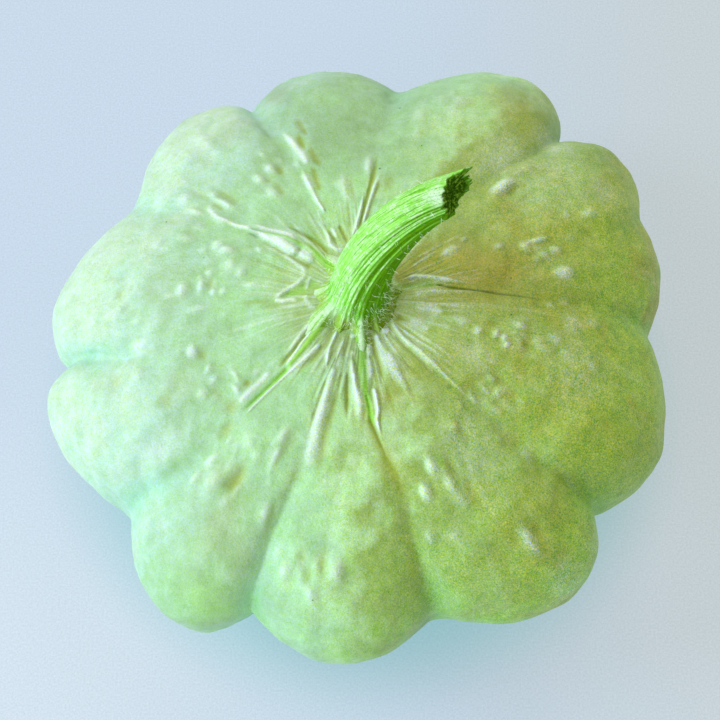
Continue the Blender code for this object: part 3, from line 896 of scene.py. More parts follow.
SPOT_ROWS = {
    Tint.PALE_AND_HIGHLIGHT: (
        (10.0, 41.5, 1.2, 1.7, 0.8, 1.1), (17.3, 41.2, 0.9, 1.3, 0.5, 0.7),
        (16.4, 38.5, 1.1, 0.8, 0.4, 0.6), (21.3, 38.3, 0.6, 2.0, 0.6, 0.9),
        (20.0, 35.3, 1.2, 0.8, 0.6, 1.0), (22.6, 30.1, 0.8, 1.0, 0.4, 0.5),
        (25.3, 52.0, 1.0, 1.5, 0.5, 0.6), (26.8, 47.4, 0.7, 0.8, 0.3, 0.5),
        (29.4, 20.6, 0.9, 1.8, 0.4, 0.8), (31.6, 24.5, 0.5, 0.8, 0.3, 0.5),
        (42.5, 39.4, 1.2, 2.6, 0.9, 1.7), (43.0, 44.6, 0.7, 0.9, 0.4, 0.6),
        (67.0, 53.2, 1.2, 2.0, 0.4, 0.5), (74.5, 47.0, 1.4, 3.0, 0.4, 0.5),
        (86.6, 30.6, 0.8, 2.3, 0.5, 0.9), (98.0, 25.8, 1.2, 1.5, 0.3, 0.5),
        (120.3, 39.7, 0.6, 0.8, 0.3, 0.6), (121.2, 35.5, 1.0, 1.3, 0.6, 0.8),
        (126.6, 34.6, 0.9, 1.4, 0.6, 0.8), (126.7, 29.3, 1.0, 1.7, 0.5, 0.7),
        (129.2, 51.0, 1.2, 3.4, 0.45, 0.4), (145.0, 44.3, 1.4, 1.2, 0.5, 0.7),
        (147.2, 40.0, 0.6, 1.8, 0.5, 0.9), (140.7, 35.5, 0.7, 2.3, 0.6, 0.8),
        (140.0, 39.2, 0.7, 0.9, 0.4, 0.6), (157.8, 28.4, 0.9, 1.5, 0.8, 1.1),
        (156.8, 31.2, 1.2, 1.1, 0.5, 0.7), (164.0, 27.0, 1.4, 1.2, 0.5, 0.7),
        (157.0, 38.5, 0.9, 1.4, 0.4, 0.5), (160.3, 43.6, 1.4, 1.0, 0.4, 0.5),
        (168.8, 30.6, 0.8, 0.9, 0.4, 0.5), (174.0, 31.8, 1.3, 0.7, 0.5, 0.7),
        (175.5, 35.6, 1.4, 1.0, 0.7, 1.0), (176.3, 27.2, 0.7, 0.8, 0.4, 0.7),
        (176.3, 29.2, 0.6, 0.6, 0.4, 0.7), (177.2, 38.2, 0.6, 1.0, 0.3, 0.5),
        (167.0, 24.3, 1.1, 1.1, 0.4, 0.7), (172.8, 21.8, 0.6, 1.2, 0.4, 0.7),
        (152.3, 22.5, 0.5, 1.0, 0.5, 0.8), (182.9, 31.6, 0.8, 2.2, 0.5, 0.5),
        (190.0, 44.8, 1.2, 1.6, 0.6, 0.7), (197.8, 46.2, 1.4, 1.2, 0.45, 0.6),
        (198.0, 34.7, 1.4, 0.8, 0.6, 1.0), (206.0, 32.8, 0.8, 0.7, 0.3, 0.5),
        (212.3, 36.3, 1.1, 0.9, 0.5, 0.8), (218.5, 30.7, 1.0, 0.7, 0.5, 0.9),
        (214.0, 29.2, 1.6, 0.5, 0.4, 0.6), (218.0, 25.5, 0.6, 1.0, 0.3, 0.5),
        (232.0, 46.0, 1.8, 2.3, 1.0, 0.4), (228.0, 43.5, 1.0, 1.5, 0.6, 0.8),
        (227.2, 47.5, 0.8, 1.4, 0.4, 0.6), (235.0, 37.0, 1.3, 0.8, 0.4, 0.5),
        (243.6, 36.3, 0.6, 2.0, 0.5, 0.8), (242.6, 32.4, 0.8, 2.0, 0.5, 0.7),
        (246.8, 46.5, 0.9, 2.2, 0.4, 0.6), (252.0, 52.0, 1.0, 2.0, 0.3, 0.5),
        (254.5, 54.3, 0.9, 1.5, 0.5, 0.9), (260.4, 57.8, 0.7, 1.2, 0.4, 0.7),
        (265.4, 53.3, 0.9, 2.0, 0.5, 0.8), (261.0, 53.2, 0.7, 1.0, 0.3, 0.4),
        (287.9, 41.1, 0.9, 1.5, 0.7, 1.1), (295.0, 41.6, 0.9, 1.8, 0.6, 0.8),
        (295.7, 45.0, 1.2, 1.5, 0.5, 0.5), (291.9, 37.2, 0.9, 1.9, 0.8, 1.1),
        (305.0, 56.6, 0.9, 2.0, 0.7, 1.0), (305.2, 59.0, 0.7, 1.2, 0.4, 0.7),
        (286.2, 48.6, 0.8, 1.0, 0.4, 0.7), (291.2, 50.0, 1.0, 1.0, 0.4, 0.6),
        (316.9, 44.8, 0.7, 1.2, 0.4, 0.7), (304.3, 32.4, 0.7, 1.0, 0.4, 0.6),
        (316.4, 30.3, 0.6, 1.2, 0.4, 0.7), (313.8, 39.3, 0.7, 0.8, 0.3, 0.5),
        (319.4, 35.0, 0.6, 0.9, 0.3, 0.5), (324.0, 33.2, 1.3, 0.7, 0.5, 0.8),
        (321.9, 31.0, 0.5, 1.4, 0.4, 0.6), (326.9, 30.8, 0.5, 1.2, 0.4, 0.6),
        (341.3, 30.3, 1.0, 0.7, 0.5, 0.9), (343.5, 29.5, 0.8, 0.6, 0.4, 0.9),
        (344.2, 27.8, 1.0, 0.6, 0.5, 0.9), (342.5, 24.3, 1.1, 1.0, 0.5, 0.9),
        (345.8, 20.3, 0.9, 1.8, 0.4, 0.7), (350.0, 32.1, 0.7, 1.2, 0.5, 0.8),
        (349.0, 39.4, 1.2, 1.2, 0.4, 0.7), (346.6, 41.7, 1.0, 0.8, 0.3, 0.5),
        (355.3, 42.6, 2.2, 1.8, 0.4, 0.5), (345.2, 47.3, 0.8, 0.8, 0.4, 0.6),
        (357.2, 46.5, 1.2, 1.8, 0.3, 0.4), (348.0, 46.6, 0.8, 0.8, 0.3, 0.4),
        (360.0, 38.2, 0.6, 0.7, 0.3, 0.6), (337.0, 40.5, 0.8, 0.7, 0.3, 0.4),
        # Flat patches that pale the skin, some of them painted highlight on lobe flanks that face the lamps.
        (38.0, 50.0, 8.0, 10.0, 0.0, 0.25), (305.0, 37.0, 6.0, 8.0, 0.0, 0.28),
        (322.0, 66.0, 8.0, 4.0, 0.0, 0.5), (341.0, 45.0, 6.0, 5.0, 0.0, 0.22),
        (252.0, 12.0, 4.0, 3.0, 0.0, 0.4), (50.0, 45.0, 4.0, 7.0, 0.0, 0.45),
        (216.0, 47.0, 3.0, 4.0, 0.0, 0.4), (249.0, 53.0, 3.5, 6.0, 0.0, 0.3),
        (308.0, 66.0, 4.0, 3.0, 0.0, 0.35), (331.0, 25.0, 3.0, 5.0, 0.0, 0.3),
        (30.0, 58.0, 5.0, 4.0, 0.0, 0.25), (45.0, 58.0, 5.0, 4.0, 0.0, 0.55),
    ),
    # Hollows and olive grooves; the hollow at 236.6 is painted shadow beside the big wart, and the flat
    # patches at radius 55 are painted shade on flanks that face away from the lamps.
    Tint.TAN: (
        (118.6, 34.2, 0.9, 1.5, -0.5, 1.2), (124.3, 33.0, 0.7, 0.8, -0.3, 0.8),
        (123.3, 29.6, 0.7, 1.7, -0.3, 0.8), (142.6, 36.6, 0.7, 1.7, -0.3, 0.8),
        (138.0, 36.2, 1.0, 3.2, -0.3, 0.6), (141.7, 42.0, 0.7, 3.0, -0.3, 0.6),
        (172.6, 30.0, 1.3, 0.6, -0.3, 0.9), (200.0, 33.0, 1.2, 0.9, -0.3, 0.8),
        (171.0, 51.0, 0.8, 0.8, 0.0, 0.5), (175.0, 49.0, 1.2, 0.8, -0.2, 0.8),
        (179.0, 47.0, 1.2, 0.8, -0.2, 0.7), (180.7, 45.2, 0.9, 0.9, -0.2, 0.5),
        (197.0, 50.8, 2.2, 1.4, -0.2, 0.4), (208.0, 43.2, 1.4, 1.3, -0.3, 0.8),
        (225.5, 37.2, 1.0, 1.8, -0.3, 0.9), (221.5, 33.6, 1.4, 1.5, -0.4, 0.9),
        (215.5, 34.0, 1.8, 0.9, -0.2, 0.5), (236.6, 43.6, 1.4, 3.0, -1.0, 1.5),
        (246.2, 32.4, 0.9, 2.8, -0.2, 0.5), (248.6, 47.5, 0.7, 4.0, -0.15, 0.5),
        (257.6, 52.2, 0.9, 1.9, -0.5, 0.9), (259.4, 54.8, 0.8, 1.8, -0.4, 0.8),
        (262.3, 52.6, 0.8, 2.6, -0.4, 0.7), (262.0, 58.0, 0.7, 1.5, -0.3, 0.6),
        (297.2, 38.5, 0.8, 2.5, -0.5, 1.0), (299.6, 44.5, 0.9, 2.4, -0.4, 0.9),
        (290.2, 41.6, 0.6, 1.2, -0.3, 0.6), (308.0, 56.8, 1.2, 2.2, -0.5, 0.9),
        (298.8, 57.0, 1.6, 3.4, -0.2, 0.5), (328.2, 32.8, 0.8, 1.8, -0.4, 1.0),
        (327.0, 35.8, 1.4, 1.6, -0.3, 0.7), (305.8, 34.0, 1.0, 2.6, -0.3, 0.7),
        (344.5, 34.4, 2.6, 1.4, -0.3, 0.8), (347.6, 27.0, 0.8, 1.2, -0.3, 0.6),
        (15.9, 44.0, 1.9, 1.7, -0.3, 0.9), (19.0, 55.0, 4.0, 3.5, 0.0, 0.5),
        (39.2, 41.2, 1.0, 2.6, -0.6, 1.0), (64.0, 54.5, 0.8, 1.5, -0.3, 0.6),
        (77.3, 27.0, 1.1, 2.0, -0.2, 0.8), (219.4, 28.4, 0.6, 0.7, -0.3, 1.6),
        (50.0, 55.0, 3.6, 6.0, 0.0, 0.9), (280.5, 55.0, 2.6, 5.0, 0.0, 0.6),
        (245.0, 55.0, 2.6, 5.0, 0.0, 0.5),
    ),
    # Painted shade: small pits, and broad patches behind the stem and near the back rim.
    Tint.DARK: (
        (312.9, 25.8, 0.55, 0.55, -0.2, 1.0), (83.6, 54.0, 0.7, 1.2, -0.2, 0.4),
        (98.0, 40.0, 9.0, 11.0, 0.0, 0.46), (66.0, 34.0, 7.0, 7.0, 0.0, 0.34),
        (50.0, 62.0, 4.0, 6.0, 0.0, 0.5), (38.0, 65.0, 5.0, 5.0, 0.0, 0.5),
        (108.0, 57.0, 3.0, 7.0, 0.0, 0.9), (58.0, 63.0, 4.0, 5.0, 0.0, 0.7),
        (111.0, 47.0, 5.0, 7.0, 0.0, 0.45),
    ),
    # Ochre patches; the broad one at bearing 14 lies where the stem's shadow falls and is painted shadow.
    Tint.OCHRE_AND_SHADOW: (
        (14.0, 25.0, 8.0, 12.0, 0.0, 1.4), (281.0, 33.0, 3.0, 6.0, 0.0, 0.5),
        (300.0, 20.0, 4.0, 6.0, 0.0, 0.6), (340.0, 32.0, 6.0, 5.0, 0.0, 0.3),
        (274.0, 25.0, 2.5, 6.0, 0.0, 0.6), (232.0, 45.0, 3.0, 4.0, 0.0, 0.35),
        (22.0, 62.0, 5.0, 4.0, 0.0, 0.4), (57.0, 60.0, 6.0, 6.0, 0.0, 0.8),
        (284.0, 22.0, 3.5, 5.0, 0.0, 0.8), (2.0, 15.0, 3.0, 4.0, 0.0, 0.6),
        (239.0, 52.0, 3.5, 7.0, 0.0, 0.45), (206.0, 40.0, 4.0, 4.0, 0.0, 0.3),
        (175.0, 40.0, 9.0, 5.0, 0.0, 0.28), (150.0, 41.0, 6.0, 5.0, 0.0, 0.22),
    ),
    Tint.LIME: (
        (268.0, 51.8, 1.6, 2.0, 0.0, 0.8), (295.0, 37.0, 1.2, 1.6, 0.2, 0.9),
        (324.5, 30.8, 1.2, 1.1, 0.2, 0.8), (135.7, 56.5, 0.8, 0.8, 0.0, 0.5),
        (300.0, 66.0, 8.0, 4.0, 0.0, 0.55), (243.0, 64.0, 7.0, 4.0, 0.0, 0.75),
        (270.0, 65.0, 7.0, 4.0, 0.0, 0.45),
    ),
}
SPOTS = {tint: tuple(Spot(*row) for row in rows) for tint, rows in SPOT_ROWS.items()}


@dataclass(frozen=True)
class WartPatch:
    """A patch of small warts, drawn at random along the way from the stem.

    spread holds the patch's half length along that way and across it, and size the warts' usual half
    length, in millimetres. The patch is on the crown unless crown is False.
    """

    bearing: float
    radius: float
    spread: Pair
    count: int
    size: float = 1.3
    rise: float = 0.4
    crown: bool = True

    SCATTER = (0.6, 0.7)
    SIZES = (0.6, 1.5)
    SLIMNESS = (0.5, 0.85)
    RISES = (0.3, 1.0)
    PALENESS = 0.9

    def spots(self, draw: np.random.Generator) -> List[Spot]:
        """Draws the patch's warts.

        Args:
            draw: the random generator that they are taken from.

        Returns:
            The warts.
        """
        made = []
        for _ in range(self.count):
            radius = self.radius + draw.normal(0.0, self.SCATTER[0]) * self.spread[0]
            aside = math.degrees(draw.normal(0.0, self.SCATTER[1]) * self.spread[1] / radius)
            along = self.size * draw.uniform(*self.SIZES)
            across = along * draw.uniform(*self.SLIMNESS)
            rise = self.rise * draw.uniform(*self.RISES)
            made.append(Spot(self.bearing + aside, radius, across, along, rise, rise * self.PALENESS))
        return made


WART_PATCHES = (
    WartPatch(176.0, 50.0, (6.0, 4.0), 30, 0.8, 0.25),
    WartPatch(113.0, 36.0, (5.0, 3.0), 6, 1.0, 0.25),
    WartPatch(144.0, 37.0, (6.0, 4.0), 8, 1.0, 0.30),
    WartPatch(162.0, 30.0, (7.0, 6.0), 12, 1.0, 0.30),
    WartPatch(212.0, 34.0, (7.0, 4.0), 8, 1.0, 0.30),
    WartPatch(234.0, 41.0, (6.0, 4.0), 12, 1.1, 0.35),
    WartPatch(243.0, 38.0, (7.0, 3.0), 8, 1.0, 0.30),
    WartPatch(259.0, 54.0, (4.0, 4.0), 12, 1.1, 0.35),
    WartPatch(293.0, 41.0, (6.0, 4.0), 8, 1.1, 0.30),
    WartPatch(322.0, 33.0, (6.0, 4.0), 10, 1.0, 0.30),
    WartPatch(346.0, 32.0, (8.0, 5.0), 14, 1.0, 0.30),
    WartPatch(352.0, 43.0, (5.0, 5.0), 8, 1.0, 0.25),
    WartPatch(18.0, 39.0, (6.0, 5.0), 8, 1.0, 0.25),
    WartPatch(41.0, 42.0, (5.0, 3.0), 6, 1.1, 0.30),
    WartPatch(72.0, 50.0, (7.0, 5.0), 8, 1.4, 0.30),
    WartPatch(60.0, 48.0, (8.0, 4.0), 6, 1.6, 0.40, False),
    WartPatch(150.0, 50.0, (8.0, 5.0), 7, 1.7, 0.40, False),
    WartPatch(262.0, 52.0, (7.0, 5.0), 6, 1.5, 0.40, False),
    WartPatch(335.0, 46.0, (9.0, 5.0), 7, 1.6, 0.40, False),
)


@dataclass(frozen=True)
class Growth:
    """All that stands out of the skin, with the marks that it leaves there, painted highlight and shade among
    them.
    """

    folds: Tuple[Fold, ...] = FOLDS
    pleats: PleatField = PleatField()
    patches: Tuple[WartPatch, ...] = WART_PATCHES
    fold_share: float = 0.64
    spot_share: float = 0.95
    spot_tint_share: float = 0.7
    seed: int = 5

    def raise_on(
        self, bearing: np.ndarray, radius: np.ndarray, crown: np.ndarray
    ) -> Tuple[np.ndarray, Dict[str, np.ndarray]]:
        """Height and marks of the folds, warts and hollows.

        Args:
            bearing: bearings of the skin's points, in degrees.
            radius: their plan radii in metres.
            crown: whether each is above the widest level.

        Returns:
            Heights in metres, and each tint's mark at each point.
        """
        radius = radius * MM_PER_METRE
        angle = np.radians(bearing)
        plan = np.stack((radius * np.cos(angle), radius * np.sin(angle)), axis=-1)
        plan[~crown] = np.inf
        height = np.zeros_like(radius)
        marks = {tint.value: np.zeros_like(radius) for tint in Tint}

        def add(tint: Tint, rise: float, strength: float, near: np.ndarray, shape: np.ndarray) -> None:
            """Adds one shape to the height and to its tint's mark.

            Args:
                tint: what colours it.
                rise: its height in millimetres.
                strength: the share of the tint that shows.
                near: which points it reaches.
                shape: its height at each of those, as a share of its rise.
            """
            height[near] += rise * MM * shape
            mark = marks[tint.value]
            mark[near] = np.maximum(mark[near], shape * strength)

        for fold in (*self.folds, *self.pleats.folds()):
            add(fold.tint, fold.rise * self.fold_share, fold.strength, *fold.profile(plan))
        top = np.where(crown, radius, np.inf)
        for tint, spots in SPOTS.items():
            for spot in spots:
                rise, strength = spot.rise * self.spot_share, spot.strength * self.spot_tint_share
                add(tint, rise, strength, *spot.profile(bearing, top))
        draw = np.random.default_rng(self.seed)
        for patch in self.patches:
            side = np.where(crown == patch.crown, radius, np.inf)
            for spot in patch.spots(draw):
                add(Tint.PALE_AND_HIGHLIGHT, spot.rise, spot.strength, *spot.profile(bearing, side))
        return height, marks


# ------------ The fruit ------------


@dataclass(frozen=True)
class SkinFinish:
    """The fruit's skin, with a bloom of wax, from mint on one cheek to olive on the other one, which faced
    the sun, with painted shade on the side that faces away from the lamps.
    """

    name: str = "squash_skin"
    cheek: Tuple[Tuple[float, Colour], ...] = (
        (0.03, shade(202, 231, 199)),
        (0.14, shade(180, 222, 190)),
        (0.23, shade(168, 211, 162)),
        (0.32, shade(170, 216, 161)),
        (0.41, shade(174, 224, 163)),
        (0.50, shade(190, 234, 164)),
        (0.59, shade(160, 193, 96)),
        (0.68, shade(166, 203, 102)),
        (0.80, shade(166, 192, 73)),
        (0.96, shade(165, 208, 66)),
    )
    cheek_span: float = 0.132
    blush: Colour = shade(164, 164, 46)
    lime: Colour = shade(164, 216, 84)
    leaf: Colour = shade(154, 226, 100)
    furrow: Colour = (0.84, 0.975, 0.99)
    collar: Colour = shade(188, 210, 130)
    ochre: Colour = shade(168, 158, 34)
    pale: Colour = shade(230, 250, 238)
    tan: Colour = shade(160, 180, 42)
    green: Colour = shade(150, 216, 64)
    dark: Colour = shade(104, 138, 36)
    belly: Colour = shade(206, 222, 158)
    scar: Colour = shade(150, 122, 84)
    speck: Colour = shade(70, 116, 36)
    dapple: Colour = (1.0, 0.5, 2.2)
    blue_grit: Colour = (0.35, 0.15, 3.3)
    red_grit: Colour = (1.0, 0.45, -0.3)

    blotch_scale: float = 30.0
    mottle_scale: float = 150.0
    dapple_scale: float = 400.0
    grain_scale: float = 3300.0
    grit_scale: float = 3500.0
    grit_shift: Point = (0.3, 0.1, 0.2)
    streaks_round: float = 24.0
    streaks_out: float = 30.0

    far_span: Pair = (0.008, 0.060)
    far_turn: float = 0.26
    lee_turn: float = 0.10
    uneven_turn: float = 0.30
    patch_span: Pair = (0.38, 0.66)
    blush_side: Pair = (0.0, 0.045)
    blush_depth: Pair = (-0.055, 0.0)
    blush_share: float = 0.65
    leaf_side: Pair = (-0.055, 0.0)
    leaf_depth: Pair = (0.0, -0.055)
    leaf_rise: Pair = (0.020, -0.004)
    leaf_share: float = 0.6
    belly_drop: float = 0.008
    belly_share: float = 0.75

    collar_share: float = 0.6
    ochre_share: float = 0.75
    lime_share: float = 0.8
    tan_share: float = 0.80
    green_share: float = 0.95
    painted_shade_share: float = 0.75
    wax: float = 1.15
    pale_lost_to_sun_and_shade: float = 0.45

    pinprick_scale: float = 230.0
    pinprick_rim: Pair = (0.065, 0.030)
    pinprick_rarity: float = 0.80
    pinprick_share: float = 0.8
    lee_shade: float = 0.14
    mottle_shade: float = 0.30
    burnt_span: Pair = (0.35, 0.95)
    dapple_gain: Pair = (0.66, 0.9)
    grit_gain: Pair = (0.8, 3.1)

    pore_scale: float = 240.0
    pore_height: float = 0.00055
    streak_height: float = 0.00045
    grain_height: float = 0.00012
    roughness: float = 0.46
    coat: float = 0.10
    coat_roughness: float = 0.30
    soft_share: float = 0.10
    soft_radius: Colour = (0.6, 1.0, 0.35)
    soft_depth: float = 0.0020

    def material(self, form: FruitForm) -> bpy.types.Material:
        """Builds the skin's material.

        Args:
            form: the fruit's form, for its levels.

        Returns:
            The material, which reads the marks on the skin's mesh.
        """
        shading = SkinShading(self, form)
        shading.lay_ground()
        shading.lay_marks()
        shading.lay_speckle()
        return shading.close()


class SkinShading:
    """The nodes of the skin's material: its colour, layer by layer, and its relief."""

    def __init__(self, finish: SkinFinish, form: FruitForm) -> None:
        """Starts the material with the patterns that its layers share.

        Args:
            finish: the skin's colours and measures.
            form: the fruit's form, for its levels.
        """
        self.finish, self.form = finish, form
        self.tree = tree = FinishTree(finish.name)
        self.place = place = tree.place()
        self.side, self.depth, self.level = tree.split(place)
        self.far = self.depth.ease(*finish.far_span)
        self.lee, self.collar = tree.mark("lee"), tree.mark("collar")
        self.marks = {tint: tree.mark(tint.value) for tint in Tint}

        self.blotch = tree.noise(place, finish.blotch_scale, 2.0)
        self.mottle = tree.noise(place, finish.mottle_scale, 4.0, 0.6)
        self.dapple = tree.noise(place, finish.dapple_scale, 4.0, 0.8)
        self.grain = tree.noise(place, finish.grain_scale, 2.0, 0.8)
        self.grit = tree.noise(place + finish.grit_shift, finish.grit_scale, 2.0, 0.8)
        flat = place * (1.0, 1.0, 0.0)
        spoke = tree.term("ShaderNodeVectorMath", {"operation": "NORMALIZE"}, {0: flat})
        self.streak = tree.noise(spoke * finish.streaks_round + place * finish.streaks_out, 1.0, 4.0, 0.65)

        # The place on the cheek ramp, mint on the left and olive on the right; painted shade on the side that
        # faces away from the lamps moves it towards olive.
        turned = 0.5 + self.side / finish.cheek_span - self.far * finish.far_turn
        uneven = (self.blotch - 0.5) * finish.uneven_turn + (self.mottle - 0.5) * finish.uneven_turn
        self.sunned_and_shaded = turned + self.lee * finish.lee_turn + uneven
        self.colour = tree.term("ShaderNodeValToRGB", {"stops": finish.cheek}, {"Fac": self.sunned_and_shaded})

    def cover(self, colour: Operand, share: Operand) -> None:
        """Lays a colour over what is there, by a share."""
        self.colour = self.tree.mix(self.colour, colour, share)

    def lay_ground(self) -> None:
        """Lays the blush, the leafy rim, the belly and the furrows over the cheeks' colour."""
        look, widest = self.finish, self.form.widest_level
        patchy = (self.mottle + self.blotch - 0.5).ease(*look.patch_span)
        blushed = self.side.ease(*look.blush_side) * (1.0 - self.far) * self.depth.ease(*look.blush_depth)
        self.cover(look.blush, blushed * patchy * look.blush_share)
        low, high = (widest + rise for rise in look.leaf_rise)
        front = self.depth.ease(*look.leaf_depth) * self.side.ease(*look.leaf_side)
        self.cover(look.leaf, self.level.ease(low, high) * front * patchy * look.leaf_share)
        self.cover(look.belly, self.level.ease(widest - look.belly_drop, 0.0) * look.belly_share)
        self.cover(self.colour * look.furrow, self.tree.mark("furrow"))

    def lay_marks(self) -> None:
        """Lays the colours of what grew on the skin, with painted highlight and shade among them: folds,
        spots, streaks and the blossom scar.
        """
        look, marks, collar, streak = self.finish, self.marks, self.collar, self.streak
        self.cover(look.collar, collar.ease(0.3, 1.0) * look.collar_share)
        # Ochre patches, and the stem's shadow painted to its right.
        self.cover(look.ochre, marks[Tint.OCHRE_AND_SHADOW] * look.ochre_share)
        # Tan in the streaks' hollows and pale on their ridges, by the same pattern as their relief: partly
        # painted shade and highlight.
        self.cover(look.tan, streak.ease(0.50, 0.32) * (collar * 0.45 + 0.05))
        self.cover(look.pale, streak.ease(0.52, 0.70) * (collar * 0.55 + 0.08))
        self.cover(look.lime, marks[Tint.LIME] * look.lime_share)
        # Olive grooves, and painted shade in hollows, beside warts and on flanks that face away from the
        # lamps.
        self.cover(look.tan, marks[Tint.TAN] * look.tan_share)
        self.cover(look.green, marks[Tint.GREEN] * (look.green_share - (self.grain - 0.5)))
        # Pale tissue and warts, with painted highlight; it shows more on the mint side and less where shade
        # is painted.
        pale_wax_and_highlight = look.wax - self.sunned_and_shaded * look.pale_lost_to_sun_and_shade + (self.grain - 0.5) * 0.3
        self.cover(look.pale, marks[Tint.PALE_AND_HIGHLIGHT] * pale_wax_and_highlight)
        # Painted shade in creases, pits and shaded patches.
        self.cover(look.dark, marks[Tint.DARK] * look.painted_shade_share)
        self.cover(look.scar, self.tree.mark("scar"))

    def lay_speckle(self) -> None:
        """Adds the pinpricks, the painted shade on the side that faces away from the lamps and the fine
        speckle, most on olive skin.
        """
        look, tree = self.finish, self.tree
        pinprick = tree.cells(self.place, look.pinprick_scale).ease(*look.pinprick_rim)
        drawn, _, _ = tree.split(tree.cells(self.place, look.pinprick_scale, "Color"))
        self.cover(look.speck, pinprick * (drawn > look.pinprick_rarity) * look.pinprick_share)
        mottled = (self.mottle - 0.5) * look.mottle_shade
        colour = self.colour * (1.0 - self.lee * look.lee_shade + mottled)

        burnt = self.sunned_and_shaded.ease(*look.burnt_span)
        calm, lively = look.dapple_gain
        dappled = (self.dapple - 0.5) * look.dapple * (calm + burnt * lively)
        calm, lively = look.grit_gain
        gritty = (self.grit - 0.5) * look.blue_grit + (self.grain - 0.5) * look.red_grit
        self.colour = colour * (gritty * (calm + burnt * lively) + dappled + WHITE)

    def close(self) -> bpy.types.Material:
        """Adds the relief and the gloss.

        Returns:
            The finished material.
        """
        look, tree = self.finish, self.tree
        relief = tree.bump(tree.noise(self.place, look.pore_scale, 4.0, 0.6), look.pore_height)
        relief = tree.bump(self.streak * self.collar, look.streak_height, relief)
        relief = tree.bump(self.grain, look.grain_height, relief)
        tree.soften(look.soft_share, look.soft_radius, look.soft_depth)
        tree.shader.inputs["Coat Roughness"].default_value = look.coat_roughness
        tree.shader.inputs["Coat Weight"].default_value = look.coat
        rough = look.roughness + (self.mottle - 0.5) * 0.18 + self.marks[Tint.TAN] * 0.12
        return tree.paint(base_color=self.colour, roughness=rough, normal=relief)


